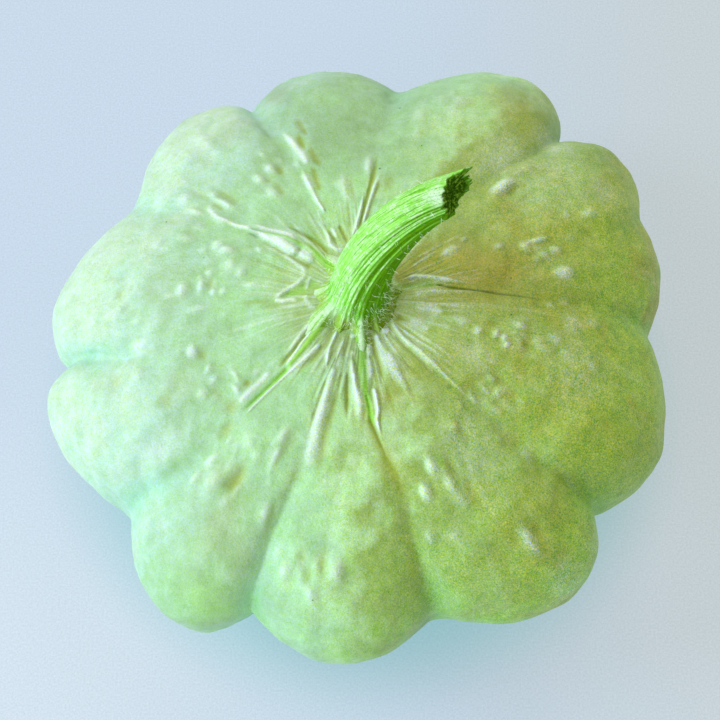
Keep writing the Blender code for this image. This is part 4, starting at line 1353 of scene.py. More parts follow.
@dataclass
class Fruit:
    """The scalloped fruit, as one closed skin of lobe columns and level rings."""

    form: FruitForm
    columns_per_lobe: int = 48
    crown_rings: int = 146
    bowl_rings: int = 40
    fine_steps: int = 4000
    furrow_crowding: float = 0.45
    foot_crowding: float = 1.1
    foot_reach: float = 0.034
    swells: Tuple[Tuple[float, Swells], ...] = (
        (0.00045, Swells(0.024, 3)),
        (0.00026, Swells(0.0085, 4)),
        (0.00007, Swells(0.0036, 6, 40)),
    )
    swell_start: Pair = (0.004, 0.014)
    crease_half_width: float = 0.0020
    crease_share: float = 0.55
    crease_start: Pair = (0.026, 0.046)
    crease_end: Pair = (0.052, 0.064)
    furrow_tint_half_width: float = 0.0035
    furrow_tint_start: Pair = (0.62, 0.98)
    collar_span: Pair = (0.0070, 0.0280)
    # The way that painted shade faces, and how much steeper the relief is made for it.
    lee_side: Point = (0.92, -0.38, 0.0)
    lee_gain: float = 2.2
    scar_radius: float = 0.0042
    scar_dimple: float = 0.0011
    scar_rim_height: float = 0.0004
    scar_rim_half_width: float = 0.0009

    def turns(self) -> np.ndarray:
        """Places the columns, closer together near the furrows.

        Returns:
            Where each column stands, in lobes.
        """
        even = np.arange(self.columns_per_lobe) / self.columns_per_lobe
        crowded = 0.5 - 0.5 * np.cos(math.pi * even)
        across = even + (crowded - even) * self.furrow_crowding
        return (np.arange(len(LOBES))[:, None] + across[None, :]).ravel()

    def latitudes(self) -> np.ndarray:
        """Spaces the rings evenly over the skin, but closer together round the stem's foot.

        Returns:
            Their latitudes, from the stem down.
        """
        made = []
        for count, end in ((self.crown_rings, math.pi / 2.0), (self.bowl_rings, -math.pi / 2.0)):
            fine = np.linspace(0.0, end, self.fine_steps)
            _, radius, height = self.form.skin(np.full((1, fine.size), 0.5), fine[None, :])
            steps = np.hypot(np.diff(radius[0]), np.diff(height[0]))
            if end > 0.0:
                steps *= 1.0 + self.foot_crowding * (radius[0][1:] < self.foot_reach)
            run = np.concatenate(([0.0], np.cumsum(steps)))
            made.append(np.interp(np.linspace(0.0, run[-1], count + 1)[:-1], run, fine))
        crown, bowl = made
        return np.concatenate((crown[::-1], bowl[1:]))

    def build(self) -> bpy.types.Object:
        """Builds the skin with its relief and its marks.

        Returns:
            The fruit as an object with no material yet.
        """
        turn, latitude = np.meshgrid(self.turns(), self.latitudes())
        bearing, radius, height = self.form.skin(turn, latitude)
        angle = np.radians(bearing)
        places = np.stack((radius * np.cos(angle), radius * np.sin(angle), height), axis=-1)
        outward = self.outward(places)
        lift, marks = self.relief(bearing, radius, latitude, turn, places)
        places = places + outward * lift[..., None]
        places[..., 2] = np.maximum(places[..., 2], 0.0)
        # Painted shade: a mark that grows where the skin, its relief made steeper, faces away from the lamps.
        shade_facing_normals = self.outward(places) * self.lee_gain - outward * (self.lee_gain - 1.0)
        marks["lee"] = shade_facing_normals @ self.lee_side
        return self.skin_object(places, marks)

    @staticmethod
    def outward(places: np.ndarray) -> np.ndarray:
        """Works out which way the skin faces.

        Args:
            places: the skin's points, by ring from the stem down and by column.

        Returns:
            The outward direction at each of them.
        """
        down = np.gradient(places, axis=0)
        along = np.roll(places, -1, axis=1) - np.roll(places, 1, axis=1)
        outward = np.cross(down, along)
        return outward / np.linalg.norm(outward, axis=-1, keepdims=True)

    def relief(
        self,
        bearing: np.ndarray,
        radius: np.ndarray,
        latitude: np.ndarray,
        turn: np.ndarray,
        places: np.ndarray,
    ) -> Tuple[np.ndarray, Dict[str, np.ndarray]]:
        """What stands out of the smooth skin, and what colours it.

        Args:
            bearing: bearings of the skin's points, in degrees.
            radius: their plan radii.
            latitude: their latitudes.
            turn: their places in lobes.
            places: the points themselves.

        Returns:
            Heights over the smooth skin, and each mark's values.
        """
        crown = latitude > 0.0
        points = places.reshape(-1, 3)
        lift = sum(height * swell.at(points) for height, swell in self.swells).reshape(radius.shape)
        lift *= smooth_step(radius, *self.swell_start)
        grown, marks = Growth().raise_on(bearing.ravel(), radius.ravel(), crown.ravel())
        lift += grown.reshape(radius.shape)
        marks = {name: values.reshape(radius.shape) for name, values in marks.items()}

        across = turn - np.floor(turn)
        index = np.floor(turn).astype(int) % len(LOBES)
        nearest = np.where(across < 0.5, index, (index + 1) % len(LOBES))
        depth = np.array([lobe.crease for lobe in LOBES])[nearest]
        away = np.minimum(across, 1.0 - across) * (math.tau / len(LOBES)) * radius
        groove = np.exp(-((away / self.crease_half_width) ** 2)) * crown
        groove *= smooth_step(radius, *self.crease_start) * (1.0 - smooth_step(radius, *self.crease_end))
        lift -= depth * groove * self.crease_share
        # The furrows are tinted teal and a little darker, most of all towards the rim.
        furrow_tint = np.exp(-((away / self.furrow_tint_half_width) ** 2))
        marks["furrow"] = furrow_tint * smooth_step(np.cos(latitude), *self.furrow_tint_start)
        marks["collar"] = (1.0 - smooth_step(radius, *self.collar_span)) * crown

        scar = self.scar_radius
        below = ~crown
        lift -= below * self.scar_dimple * (1.0 - smooth_step(radius, scar * 0.9, scar * 2.2))
        rim = np.exp(-(((radius - scar) / self.scar_rim_half_width) ** 2))
        lift += below * self.scar_rim_height * rim
        marks["scar"] = below * (1.0 - smooth_step(radius, scar * 0.85, scar * 1.35))
        return lift, marks

    def skin_object(self, places: np.ndarray, marks: Dict[str, np.ndarray]) -> bpy.types.Object:
        """Joins the grid of points into a closed mesh.

        Args:
            places: points by ring, from the stem down, and by column.
            marks: each mark's values on the same grid.

        Returns:
            The fruit as an object.
        """
        rings, columns, _ = places.shape
        poles = np.stack((places[0].mean(axis=0), places[-1].mean(axis=0)))
        vertices = np.concatenate((places.reshape(-1, 3), poles))
        index = np.arange(rings * columns).reshape(rings, columns)
        beside = np.roll(index, -1, axis=1)
        quads = np.stack((index[:-1], index[1:], beside[1:], beside[:-1]), axis=-1).reshape(-1, 4)
        top, bottom = rings * columns, rings * columns + 1
        caps = [(top, a, b) for a, b in zip(index[0], beside[0])]
        caps += [(bottom, b, a) for a, b in zip(index[-1], beside[-1])]
        mesh = bpy.data.meshes.new("fruit_skin")
        mesh.from_pydata(vertices.tolist(), [], quads.tolist() + caps)
        for name, values in marks.items():
            carry(mesh, name, np.append(values.ravel(), (values[0].mean(), values[-1].mean())))
        mesh.shade_smooth()
        return link("fruit_skin", mesh)

    def dress(self, fruit: bpy.types.Object, finish: SkinFinish) -> None:
        """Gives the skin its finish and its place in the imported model.

        Args:
            fruit: the skin.
            finish: its finish.
        """
        fruit.data.materials.append(finish.material(self.form))
        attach(fruit, BODY)
        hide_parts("fruit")


# ------------ The stem ------------


@dataclass(frozen=True)
class StemFinish:
    """The stem's rind: bright green, with pale threads along it, dark where it was cut, and painted shade in
    a darker green on the side that faces away from the lamps.
    """

    name: str = "stem_rind"
    # The lit side's green, then the darker green of the shade painted on the other side and in dark streaks.
    light: Colour = shade(158, 240, 92)
    deep_and_shaded: Colour = shade(82, 138, 0)
    thread: Colour = shade(228, 255, 216)
    shaded_thread: Colour = shade(112, 178, 0)
    groove: Colour = shade(84, 170, 8)
    collar: Colour = shade(170, 204, 84)
    shaded_collar: Colour = shade(128, 156, 24)
    fringe: Colour = shade(220, 246, 212)
    cut: Colour = shade(50, 96, 4)
    pith: Colour = shade(132, 178, 52)
    threads_round: float = 9.0
    threads_along: float = 5.0
    streaks_round: float = 3.0
    streaks_along: float = 3.0
    grain_scale: float = 2200.0
    fleck_scale: float = 620.0
    pith_scale: float = 1300.0
    thread_height: float = 0.00026
    grain_height: float = 0.00015
    grain_shade: float = 0.80
    roughness: float = 0.46
    cut_roughness: float = 0.35
    specular: float = 0.02
    soft_share: float = 0.05
    soft_radius: Colour = (0.5, 1.0, 0.2)
    soft_depth: float = 0.0012

    def material(self) -> bpy.types.Material:
        """Builds the rind's material.

        Returns:
            The material, which reads the marks on the stem's mesh.
        """
        tree = FinishTree(self.name)
        place = tree.place()
        spoke = tree.term("ShaderNodeAttribute", {"attribute_name": "spoke"}, {}, "Vector")
        run = tree.term("ShaderNodeCombineXYZ", {}, {"Z": tree.mark("along")})
        threads = tree.noise(spoke * self.threads_round + run * self.threads_along, 1.0, 4.0, 0.7)
        streaks = spoke * self.streaks_round + run * self.streaks_along
        streaks = tree.noise(streaks + (0.4, 0.0, 0.0), 1.0, 2.0)
        grain = tree.noise(place, self.grain_scale, 3.0, 0.8)
        rooted, arm, shaded = tree.mark("rooted"), tree.mark("arm"), tree.mark("shaded")

        # Painted shade: the side that faces away from the lamps turns to the darker green, with streaks and
        # threads over it.
        depth = shaded * 0.84 + (streaks - 0.5) * 0.6 - (threads - 0.5) * 1.3
        colour = tree.mix(self.light, self.deep_and_shaded, depth.ease(0.0, 1.0))
        crossing = (threads - 0.5).most(0.5 - threads)
        colour = tree.mix(colour, self.groove, threads.ease(0.47, 0.36) * 0.6)
        broken = 0.35 + 0.65 * tree.noise(place, 700.0, 2.0).ease(0.44, 0.56)
        # Lit and shaded copies of the threads and of the foot's collar: painted shade.
        thread = tree.mix(self.thread, self.shaded_thread, shaded.ease(0.25, 0.65))
        colour = tree.mix(colour, thread, crossing.ease(0.050, 0.008) * broken)
        collar = tree.mix(self.collar, self.shaded_collar, shaded.ease(0.30, 0.85))
        colour = tree.mix(colour, collar, rooted.ease(0.45, 0.95) * (1.0 - arm * 0.85))
        # The pale fuzz and flecks fade where shade is painted.
        fuzz = rooted.ease(0.05, 0.75) * threads.ease(0.48, 0.58)
        colour = tree.mix(colour, self.fringe, fuzz * (0.95 - shaded * 0.75))
        fleck = tree.cells(place, self.fleck_scale).ease(0.24, 0.10)
        fleck = fleck * (tree.noise(place, 260.0, 2.0) > 0.48)
        colour = tree.mix(colour, self.fringe, fleck * (0.7 - shaded * 0.55))
        colour = tree.mix(colour, self.fringe, tree.mark("bruise") * grain.ease(0.38, 0.58))
        pithy = tree.noise(place, self.pith_scale, 3.0, 0.7).ease(0.46, 0.64)
        colour = tree.mix(colour, tree.mix(self.cut, self.pith, pithy), tree.mark("cut"))
        colour = colour * (1.0 + (grain - 0.5) * self.grain_shade)

        relief = tree.bump(threads, self.thread_height)
        relief = tree.bump(grain, self.grain_height, relief)
        rough = self.roughness + tree.mark("cut") * self.cut_roughness + (grain - 0.5) * 0.15
        tree.shader.inputs["Specular IOR Level"].default_value = self.specular
        tree.soften(self.soft_share, self.soft_radius, self.soft_depth)
        return tree.paint(base_color=colour, roughness=rough, normal=relief)


@dataclass(frozen=True)
class Root:
    """An arm of the stem's foot that runs out into a furrow and turns by curl degrees on the way."""

    bearing: float
    reach: float
    half_turn: float
    curl: float = 0.0


ROOTS = (
    Root(16.0, 0.0012, 16.0),
    Root(62.0, 0.0006, 14.0),
    Root(95.0, 0.0010, 8.0),
    Root(123.0, 0.0048, 13.0, 6.0),
    Root(168.0, 0.0022, 13.0, 4.0),
    Root(207.0, 0.0058, 14.0, 10.0),
    Root(237.0, 0.0014, 7.0, 4.0),
    Root(272.0, 0.0044, 9.0, 1.0),
    Root(300.0, 0.0012, 7.0, -2.0),
    Root(323.0, 0.0008, 9.0),
)


@dataclass
class Stem:
    """The bent stem: a ribbed sweep with a rooted foot and a torn cut."""

    seat_level: float
    sunk: float = 0.0016
    leave_point: Point = (-0.0012, -0.0002, 0.0135)
    bend_point: Point = (0.0062, 0.0066, 0.0230)
    end_point: Point = (0.0169, 0.0080, 0.0281)
    radius: float = 0.0053
    girths: Tuple[Pair, ...] = (
        (0.00, 1.26),
        (0.05, 1.20),
        (0.12, 1.12),
        (0.22, 1.05),
        (0.40, 0.98),
        (0.60, 0.92),
        (0.85, 0.79),
        (1.00, 0.73),
    )
    overrun: float = 0.24
    guide_points: int = 48
    twist: float = math.radians(34.0)
    stations: int = 150
    around: int = 220
    ribs: int = 11
    rib_depth: float = 0.026
    lines: int = 42
    line_depth: float = 0.009
    rib_wander: float = 5.0
    line_wander: float = 9.0
    cut_facing: Point = (0.86, -0.34, 0.34)
    tatter: float = 0.0008
    sliver_side: Point = (-0.20, 0.90, 0.35)
    sliver_length: float = 0.0023
    sliver_start: Pair = (0.0031, 0.0038)
    tooth_side: Point = (0.20, 0.75, -0.60)
    tooth_length: float = 0.0016
    tooth_start: Pair = (0.0030, 0.0037)
    cut_rings: Tuple[Pair, ...] = (
        (0.90, 0.0001),
        (0.80, 0.0006),
        (0.60, 0.0008),
        (0.40, 0.0011),
        (0.20, 0.0014),
    )
    cut_lumps: Swells = Swells(0.0011, 21)
    cut_lump_height: float = 0.00022
    rim_cut_mark: float = 0.35
    weld: float = 0.000001
    root_height: float = 0.0075
    root_start: float = -0.0002
    root_hollow: float = 4.0
    root_skirt: float = 0.0008
    root_full_reach: float = 0.004
    collar_height: float = 0.0065
    # The way that the stem's painted shade faces, and how it fades in.
    shade_side: Point = (0.78, -0.60, -0.15)
    shade_span: Pair = (-0.10, 0.75)
    hair_side: Point = (0.72, -0.69, 0.0)
    hair_side_span: Pair = (-0.004, 0.006)
    hair_heights: Pair = (0.002, 0.009)
    bare_tip: Pair = (0.004, 0.007)
    bruise_place: Point = (0.0139, 0.0062, 0.0313)
    bruise_span: Pair = (0.0008, 0.0028)

    def line_place(self, along: float) -> Vector:
        """A point of the centreline.

        Args:
            along: 0 at the foot and 1 at the cut; past 1 the line runs on straight.

        Returns:
            The point.
        """
        start = Vector((0.0, 0.0, self.seat_level - self.sunk))
        lift = Vector((0.0, 0.0, self.seat_level))
        leave, arrive = Vector(self.leave_point) + lift, Vector(self.bend_point) + lift
        end = Vector(self.end_point) + lift
        if along > 1.0:
            return end + (end - arrive) * 3.0 * (along - 1.0)
        rest = 1.0 - along
        place = start * rest**3 + leave * 3.0 * rest**2 * along
        return place + arrive * 3.0 * rest * along**2 + end * along**3

    def guide(self) -> bpy.types.Curve:
        """Draws the centreline.

        Returns:
            A curve that carries the stem's girth and twist.
        """
        curve = bpy.data.curves.new("stem_guide", "CURVE")
        curve.dimensions = "3D"
        curve.twist_mode = "MINIMUM"
        spline = curve.splines.new("POLY")
        spline.points.add(self.guide_points - 1)
        shares, factors = zip(*self.girths)
        for step, point in enumerate(spline.points):
            along = (1.0 + self.overrun) * step / (self.guide_points - 1)
            point.co = (*self.line_place(along), 1.0)
            point.radius = self.radius * float(np.interp(along, shares, factors))
            point.tilt = self.twist * along
        return curve

    def sweep_tree(self) -> ShapeTree:
        """Sets up the nodes that sweep a ribbed section along the guide.

        Returns:
            The tree. Its mesh carries how far each point is past the torn cut, as "over".
        """
        tree = ShapeTree(
            "ribbed_stem",
            {
                "Stations": "Int",
                "Around": "Int",
                "Ribs": "Float",
                "Rib depth": "Float",
                "Lines": "Float",
                "Line depth": "Float",
                "Cut point": "Vector",
                "Cut facing": "Vector",
                "Tatter": "Float",
                "Sliver side": "Vector",
                "Sliver length": "Float",
                "Tooth side": "Vector",
                "Tooth length": "Float",
            },
        )
        line = tree.term(
            "GeometryNodeResampleCurve",
            {"mode": "COUNT"},
            {"Curve": tree.given("Geometry"), "Count": tree.given("Stations")},
        )
        line = tree.store(line, "along", tree.term("GeometryNodeSplineParameter", {}, {}, "Factor"))

        section = tree.term(
            "GeometryNodeCurvePrimitiveCircle", {}, {"Resolution": tree.given("Around"), "Radius": 1.0}
        )
        spoke = tree.position()
        section = tree.store(section, "spoke", spoke)
        angle = tree.term("GeometryNodeInputIndex", {}, {}) * math.tau / tree.given("Around")
        uneven = tree.noise(spoke, 2.3, 2.0)
        ribs = (angle * tree.given("Ribs") + uneven * self.rib_wander).cosine() * tree.given("Rib depth")
        lines = (angle * tree.given("Lines") + uneven * self.line_wander).cosine() * tree.given("Line depth")
        ridge = 0.5 + 0.25 * ribs / tree.given("Rib depth") + 0.25 * lines / tree.given("Line depth")
        section = tree.store(section, "ridge", ridge)
        section = tree.term(
            "GeometryNodeSetPosition", {}, {"Geometry": section, "Position": spoke * (1.0 + ribs + lines)}
        )
        sweep = tree.term(
            "GeometryNodeCurveToMesh",
            {},
            {"Curve": line, "Profile Curve": section, "Scale": tree.term("GeometryNodeInputRadius", {}, {})},
        )

        tatter = tree.noise(tree.stored("spoke", "FLOAT_VECTOR"), 3.0, 2.0, 0.5).ease(0.42, 0.72)
        offset = tree.position() - tree.given("Cut point")
        sliver = offset.dot(tree.given("Sliver side")).ease(*self.sliver_start)
        tooth = offset.dot(tree.given("Tooth side")).ease(*self.tooth_start)
        over = offset.dot(tree.given("Cut facing")) - tatter * tree.given("Tatter")
        over = over - sliver * tree.given("Sliver length") - tooth * tree.given("Tooth length")
        tree.close(tree.store(sweep, "over", over))
        return tree

    def build(self, finish: StemFinish) -> bpy.types.Object:
        """Builds the stem.

        Args:
            finish: the rind's finish.

        Returns:
            The stem as an object with its material.
        """
        cut_point = self.line_place(1.0)
        pull = (self.line_place(1.1) - cut_point).normalized()
        material = finish.material()
        mesh = self.sweep_tree().make(
            "stem_rind",
            self.guide(),
            {
                "Stations": self.stations,
                "Around": self.around,
                "Ribs": float(self.ribs),
                "Rib depth": self.rib_depth,
                "Lines": float(self.lines),
                "Line depth": self.line_depth,
                "Cut point": cut_point,
                "Cut facing": Vector(self.cut_facing).normalized(),
                "Tatter": self.tatter,
                "Sliver side": self.square_to(pull, self.sliver_side),
                "Tooth side": self.square_to(pull, self.tooth_side),
                "Tooth length": self.tooth_length,
                "Sliver length": self.sliver_length,
                "Material": material,
            },
        )
        self.trim(mesh)
        self.spread_roots(mesh)
        self.close_ends(mesh, cut_point, pull)
        self.mark(mesh, cut_point)
        mesh.shade_smooth()
        return link("stem_rind", mesh)

    @staticmethod
    def square_to(pull: Vector, side: Sequence[float]) -> Vector:
        """A direction made square to the way that the stem points."""
        side = Vector(side)
        return (side - pull * side.dot(pull)).normalized()

    def trim(self, mesh: bpy.types.Mesh) -> None:
        """Draws each line along the stem back to where it crosses the torn cut.

        Args:
            mesh: the open sweep, by station and then round the stem.
        """
        over = np.zeros(len(mesh.vertices))
        mesh.attributes["over"].data.foreach_get("value", over)
        over = over.reshape(self.stations, self.around)
        points = vertex_values(mesh, "co").reshape(self.stations, self.around, 3)
        past, line = np.argmax(over > 0.0, axis=0), np.arange(self.around)
        near, far = over[past - 1, line], over[past, line]
        share = (near / (near - far))[:, None]
        edge = points[past - 1, line] * (1.0 - share) + points[past, line] * share
        beyond = np.arange(self.stations)[:, None] >= past
        points[beyond] = np.broadcast_to(edge, points.shape)[beyond]
        mesh.vertices.foreach_set("co", points.ravel())
        mesh.attributes.remove(mesh.attributes["over"])
        mesh.update()

    def spread_roots(self, mesh: bpy.types.Mesh) -> None:
        """Draws the foot out into arms that run into the furrows.

        Args:
            mesh: the open sweep.
        """
        points = vertex_values(mesh, "co")
        radius = np.hypot(points[:, 0], points[:, 1])
        bearing = np.degrees(np.arctan2(points[:, 1], points[:, 0]))
        foot = np.clip((points[:, 2] - self.seat_level - self.root_start) / self.root_height, 0.0, 1.0)
        foot = (1.0 - foot) ** self.root_hollow
        reach, curl = np.full(len(points), self.root_skirt), np.zeros(len(points))
        armed = np.zeros(len(points))
        for root in ROOTS:
            arm = np.exp(-((turn_between(bearing, root.bearing) / root.half_turn) ** 2))
            reach += root.reach * arm
            curl += root.curl * arm
            armed = np.maximum(armed, arm * min(1.0, root.reach / self.root_full_reach))
        carry(mesh, "arm", armed)
        bearing = np.radians(bearing + curl * foot)
        radius = radius + reach * foot
        points[:, 0], points[:, 1] = radius * np.cos(bearing), radius * np.sin(bearing)
        mesh.vertices.foreach_set("co", points.ravel())
        mesh.update()

    def close_ends(self, mesh: bpy.types.Mesh, cut_point: Vector, pull: Vector) -> None:
        """Closes the foot flat, and the cut with a sunken, torn face.

        Args:
            mesh: the open sweep.
            cut_point: where the centreline meets the cut.
            pull: the way that the stem points there.
        """
        shape = bmesh.new()
        shape.from_mesh(mesh)
        bmesh.ops.remove_doubles(shape, verts=shape.verts, dist=self.weld)
        cut_mark = shape.verts.layers.float.new("cut")
        open_edges = [edge for edge in shape.edges if edge.is_boundary]
        foot = [edge for edge in open_edges if edge.verts[0].co.z < self.seat_level]
        rim = [edge for edge in open_edges if edge.verts[0].co.z >= self.seat_level]
        bmesh.ops.holes_fill(shape, edges=foot, sides=0)

        share_before = 1.0
        for ring, (share, sink) in enumerate(self.cut_rings):
            grown = bmesh.ops.extrude_edge_only(shape, edges=rim)["geom"]
            verts = [item for item in grown if isinstance(item, bmesh.types.BMVert)]
            rim = [item for item in grown if isinstance(item, bmesh.types.BMEdge)]
            rim = [edge for edge in rim if all(vert in verts for vert in edge.verts)]
            middle = sum((vert.co for vert in verts), Vector()) / len(verts)
            centre = cut_point - pull * sink
            step = share / share_before
            share_before = share
            lumps = self.cut_lumps.at(np.array([vert.co for vert in verts]))
            for vert, lump in zip(verts, lumps):
                flat = vert.co - pull * (vert.co - centre).dot(pull) * (1.0 - step)
                vert.co = middle + (flat - middle) * step + pull * self.cut_lump_height * float(lump)
                vert[cut_mark] = 1.0 if ring else self.rim_cut_mark
        bmesh.ops.holes_fill(shape, edges=rim, sides=0)
        bmesh.ops.recalc_face_normals(shape, faces=shape.faces)
        shape.to_mesh(mesh)
        shape.free()

    def mark(self, mesh: bpy.types.Mesh, cut_point: Vector) -> None:
        """Marks where the stem is rooted, hairy and bruised, and the side that is painted in shade.

        Args:
            mesh: the closed stem.
            cut_point: where the centreline meets the cut.
        """
        points = vertex_values(mesh, "co")
        above = points[:, 2] - self.seat_level
        to_cut = np.linalg.norm(points - np.array(cut_point), axis=1)
        to_bruise = np.linalg.norm(points - np.array(self.bruise_place) - (0.0, 0.0, self.seat_level), axis=1)
        carry(mesh, "rooted", 1.0 - smooth_step(above, 0.0, self.collar_height))
        # The side painted in shade, by which way the surface faces.
        facing = vertex_values(mesh, "normal") @ np.array(self.shade_side)
        carry(mesh, "shaded", smooth_step(facing, *self.shade_span))
        carry(mesh, "bruise", 1.0 - smooth_step(to_bruise, *self.bruise_span))
        under = smooth_step(points @ np.array(self.hair_side), *self.hair_side_span)
        hairy = (1.0 - smooth_step(above, *self.hair_heights)) * (0.2 + 0.8 * under) + 0.15 * under
        carry(mesh, "hairy", np.clip(hairy * smooth_step(to_cut, *self.bare_tip), 0.0, 1.0))

    @staticmethod
    def dress(stem: bpy.types.Object) -> None:
        """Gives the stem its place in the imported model.

        Args:
            stem: the stem's piece.
        """
        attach(stem, BODY)
        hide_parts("stem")


# ------------ Hairs ------------


@dataclass(frozen=True)
class HairFinish:
    """Short plant hairs, almost clear."""

    name: str = "plant_hair"
    root: Colour = shade(150, 206, 80)
    tip: Colour = shade(240, 250, 226)

    def material(self) -> bpy.types.Material:
        """Builds the hairs' material.

        Returns:
            The material, paler in places.
        """
        tree = FinishTree(self.name)
        colour = tree.mix(self.root, self.tip, tree.noise(tree.place(), 700.0, 2.0).ease(0.35, 0.60))
        return tree.paint(base_color=colour, roughness=0.55)


@dataclass
class Hairs:
    """Hairs that stand on a host mesh where it is marked hairy."""

    name: str
    density: float
    length: float = 0.0012
    thickness: float = 0.00007
    tip_radius: float = 0.000006
    sides: int = 3
    segments: int = 2
    lean: float = 0.75
    spin: float = 6.28
    sizes: Pair = (0.45, 1.25)
    seed: int = 8

    def tree(self) -> ShapeTree:
        """Sets up the nodes that scatter leaning spikes over the host.

        Returns:
            The tree.
        """
        tree = ShapeTree(
            "hairs", {"Density": "Float", "Length": "Float", "Thickness": "Float", "Seed": "Int"}
        )
        seed = tree.given("Seed")
        scatter = tree.node(
            "GeometryNodeDistributePointsOnFaces",
            {"distribute_method": "RANDOM"},
            {
                "Mesh": tree.given("Geometry"),
                "Density": tree.stored("hairy") * tree.given("Density"),
                "Seed": seed,
            },
        )
        spike = tree.term(
            "GeometryNodeMeshCone",
            {"fill_type": "TRIANGLE_FAN"},
            {
                "Vertices": self.sides,
                "Side Segments": self.segments,
                "Radius Top": self.tip_radius,
                "Radius Bottom": tree.given("Thickness"),
                "Depth": tree.given("Length"),
            },
        )
        lean = tree.term(
            "FunctionNodeRandomValue",
            {"data_type": "FLOAT_VECTOR"},
            {"Min": (-self.lean, -self.lean, 0.0), "Max": (self.lean, self.lean, self.spin), "Seed": seed},
        )
        turned = tree.term(
            "FunctionNodeRotateRotation",
            {"rotation_space": "LOCAL"},
            {
                0: Term(tree, scatter.outputs["Rotation"]),
                1: tree.term("FunctionNodeEulerToRotation", {}, {0: lean}),
            },
        )
        smallest, largest, drawn_size = 2, 3, 1
        size = tree.term(
            "FunctionNodeRandomValue",
            {"data_type": "FLOAT"},
            {smallest: self.sizes[0], largest: self.sizes[1], "Seed": seed},
            drawn_size,
        )
        hairs = tree.term(
            "GeometryNodeInstanceOnPoints",
            {},
            {
                "Points": Term(tree, scatter.outputs["Points"]),
                "Instance": spike,
                "Rotation": turned,
                "Scale": size,
            },
        )
        tree.close(hairs)
        return tree

    def build(self, host: bpy.types.Object, finish: HairFinish) -> bpy.types.Object:
        """Builds the hairs on a host.

        Args:
            host: the piece that they stand on.
            finish: the hairs' finish.

        Returns:
            The hairs as one object.
        """
        values = {
            "Density": self.density,
            "Length": self.length,
            "Thickness": self.thickness,
            "Seed": self.seed,
            "Material": finish.material(),
        }
        hairs = link(self.name, self.tree().make(self.name, host.data, values))
        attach(hairs, BODY)
        return hairs


# ------------ The studio ------------


@dataclass(frozen=True)
class Lamp:
    """A soft square light that faces the fruit."""

    name: str
    place: Point
    size: float
    power: float
    colour: Colour = WHITE


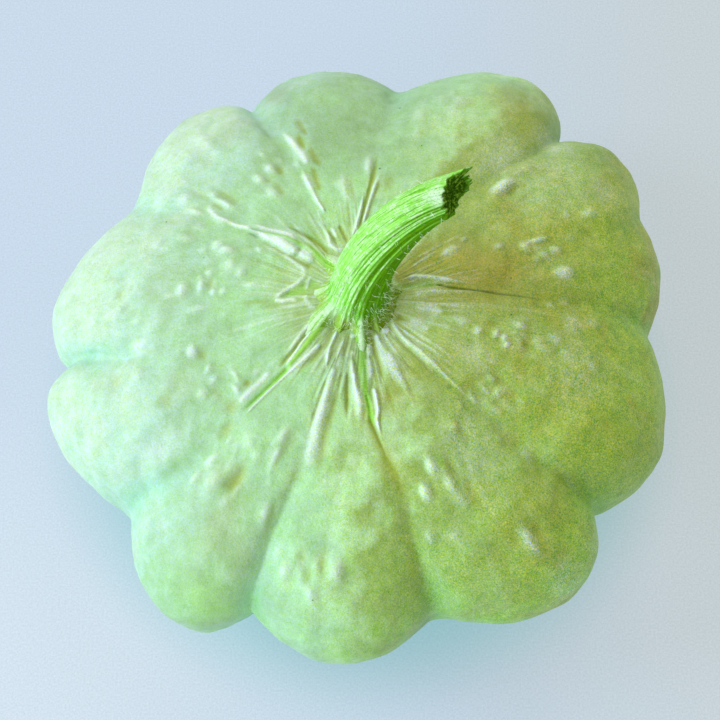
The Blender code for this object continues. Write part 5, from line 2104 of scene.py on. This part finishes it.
@dataclass
class Studio:
    """A pale floor, soft lights and the camera."""

    target: Point = (0.0, -0.002, 0.030)
    elevation: float = 67.0
    distance: float = 0.42
    lens: float = 100.0
    clip_start: float = 0.01
    floor_side: float = 12.0
    floor_grain_scale: float = 2200.0
    floor_grain: Pair = (0.75, 0.50)
    floor_roughness: float = 0.8
    floor_specular: float = 0.2
    # The painted shadow's tint near the fruit, and the radii over which it fades out.
    painted_floor_shadow: Colour = (0.50, 0.82, 0.78)
    painted_floor_shadow_radii: Pair = (0.046, 0.075)
    floor_colour: Colour = (0.17, 0.20, 0.235)
    # The glow is painted light: even, brighter to the front left and dimmer to the right.
    floor_glow: Colour = (0.415, 0.495, 0.600)
    near_glow: Colour = (0.500, 0.570, 0.640)
    far_glow: Colour = (0.425, 0.470, 0.490)
    sky: Colour = (1.02, 1.0, 0.85)
    sky_strength: float = 0.53
    lamps: Tuple[Lamp, ...] = (
        Lamp("left", (-0.82, 0.06, 0.77), 0.40, 4.1, (0.80, 1.0, 1.15)),
        Lamp("front", (-0.74, -0.74, 0.37), 0.50, 4.8, (0.82, 1.0, 1.20)),
        Lamp("back", (0.38, 1.43, 1.37), 0.90, 7.2, (1.15, 1.0, 0.85)),
    )

    def lay_floor(self) -> None:
        """Lays the floor, a matt sheet under the fruit that glows with painted light, brighter to the front
        left and dimmer to the right, with a painted shadow near the fruit.
        """
        shape = bmesh.new()
        bmesh.ops.create_grid(shape, x_segments=2, y_segments=2, size=self.floor_side / 2.0)
        mesh = bpy.data.meshes.new("floor")
        shape.to_mesh(mesh)
        shape.free()
        tree = FinishTree("floor_paper")
        grain = tree.noise(tree.place(), self.floor_grain_scale, 2.0, 0.7)
        side, depth, _ = tree.split(tree.place())
        # Painted light: a brighter glow to the front left and a dimmer one to the right.
        glow = tree.mix(self.floor_glow, self.near_glow, side.ease(0.02, -0.06) * depth.ease(0.03, -0.06))
        glow = tree.mix(glow, self.far_glow, side.ease(0.0, 0.09))
        # Painted shadow: the glow turns darker and teal close to the fruit.
        inner, outer = self.painted_floor_shadow_radii
        outside_painted_shadow = (side * side + depth * depth).ease(inner**2, outer**2)
        glow = glow * tree.mix(self.painted_floor_shadow, WHITE, outside_painted_shadow)
        darkest, swing = self.floor_grain
        tree.shader.inputs["Emission Strength"].default_value = 1.0
        tree.shader.inputs["Specular IOR Level"].default_value = self.floor_specular
        mesh.materials.append(
            tree.paint(
                base_color=self.floor_colour,
                emission_color=glow * (darkest + grain * swing),
                roughness=self.floor_roughness,
            )
        )
        link("floor", mesh)

    def light(self) -> None:
        """Hangs the lamps and sets the sky."""
        for lamp in self.lamps:
            data = bpy.data.lights.new(lamp.name, "AREA")
            data.size = lamp.size
            data.energy = lamp.power
            data.color = lamp.colour
            made = link(lamp.name, data)
            made.location = lamp.place
            aim = Vector(self.target) - Vector(lamp.place)
            made.rotation_euler = aim.to_track_quat("-Z", "Y").to_euler()
        world = bpy.data.worlds.new("sky")
        world.use_nodes = True
        background = world.node_tree.nodes["Background"]
        background.inputs["Color"].default_value = (*self.sky, 1.0)
        background.inputs["Strength"].default_value = self.sky_strength
        bpy.context.scene.world = world

    def set_camera(self) -> None:
        """Sets the camera above the fruit's front edge."""
        camera = bpy.data.cameras.new("camera")
        camera.lens = self.lens
        camera.clip_start = self.clip_start
        made = link("camera", camera)
        lift = math.radians(self.elevation)
        back = Vector((0.0, -math.cos(lift), math.sin(lift)))
        made.location = Vector(self.target) + back * self.distance
        made.rotation_euler = back.to_track_quat("Z", "Y").to_euler()
        bpy.context.scene.camera = made
        bpy.context.scene.view_settings.view_transform = "Standard"


def report(piece: bpy.types.Object) -> None:
    """Logs a piece's size and face count."""
    size = " x ".join(f"{side * MM_PER_METRE:.1f}" for side in piece.dimensions)
    log.info("%s: %s mm, %d faces", piece.name, size, len(piece.data.polygons))


def main() -> None:
    """Builds the fruit, the stem and its hairs, and the studio."""
    logging.basicConfig(level=logging.INFO, format="%(message)s")
    form = FruitForm()
    fruit_maker = Fruit(form)
    fruit = fruit_maker.build()
    fruit_maker.dress(fruit, SkinFinish())
    stem_maker = Stem(form.seat_level)
    stem = stem_maker.build(StemFinish())
    stem_maker.dress(stem)
    hairs = Hairs("stem_hairs", 3.2e6).build(stem, HairFinish())
    for piece in (fruit, stem, hairs):
        report(piece)

    studio = Studio()
    studio.lay_floor()
    studio.light()
    studio.set_camera()
    bpy.context.view_layer.update()


if __name__ == "__main__":
    main()
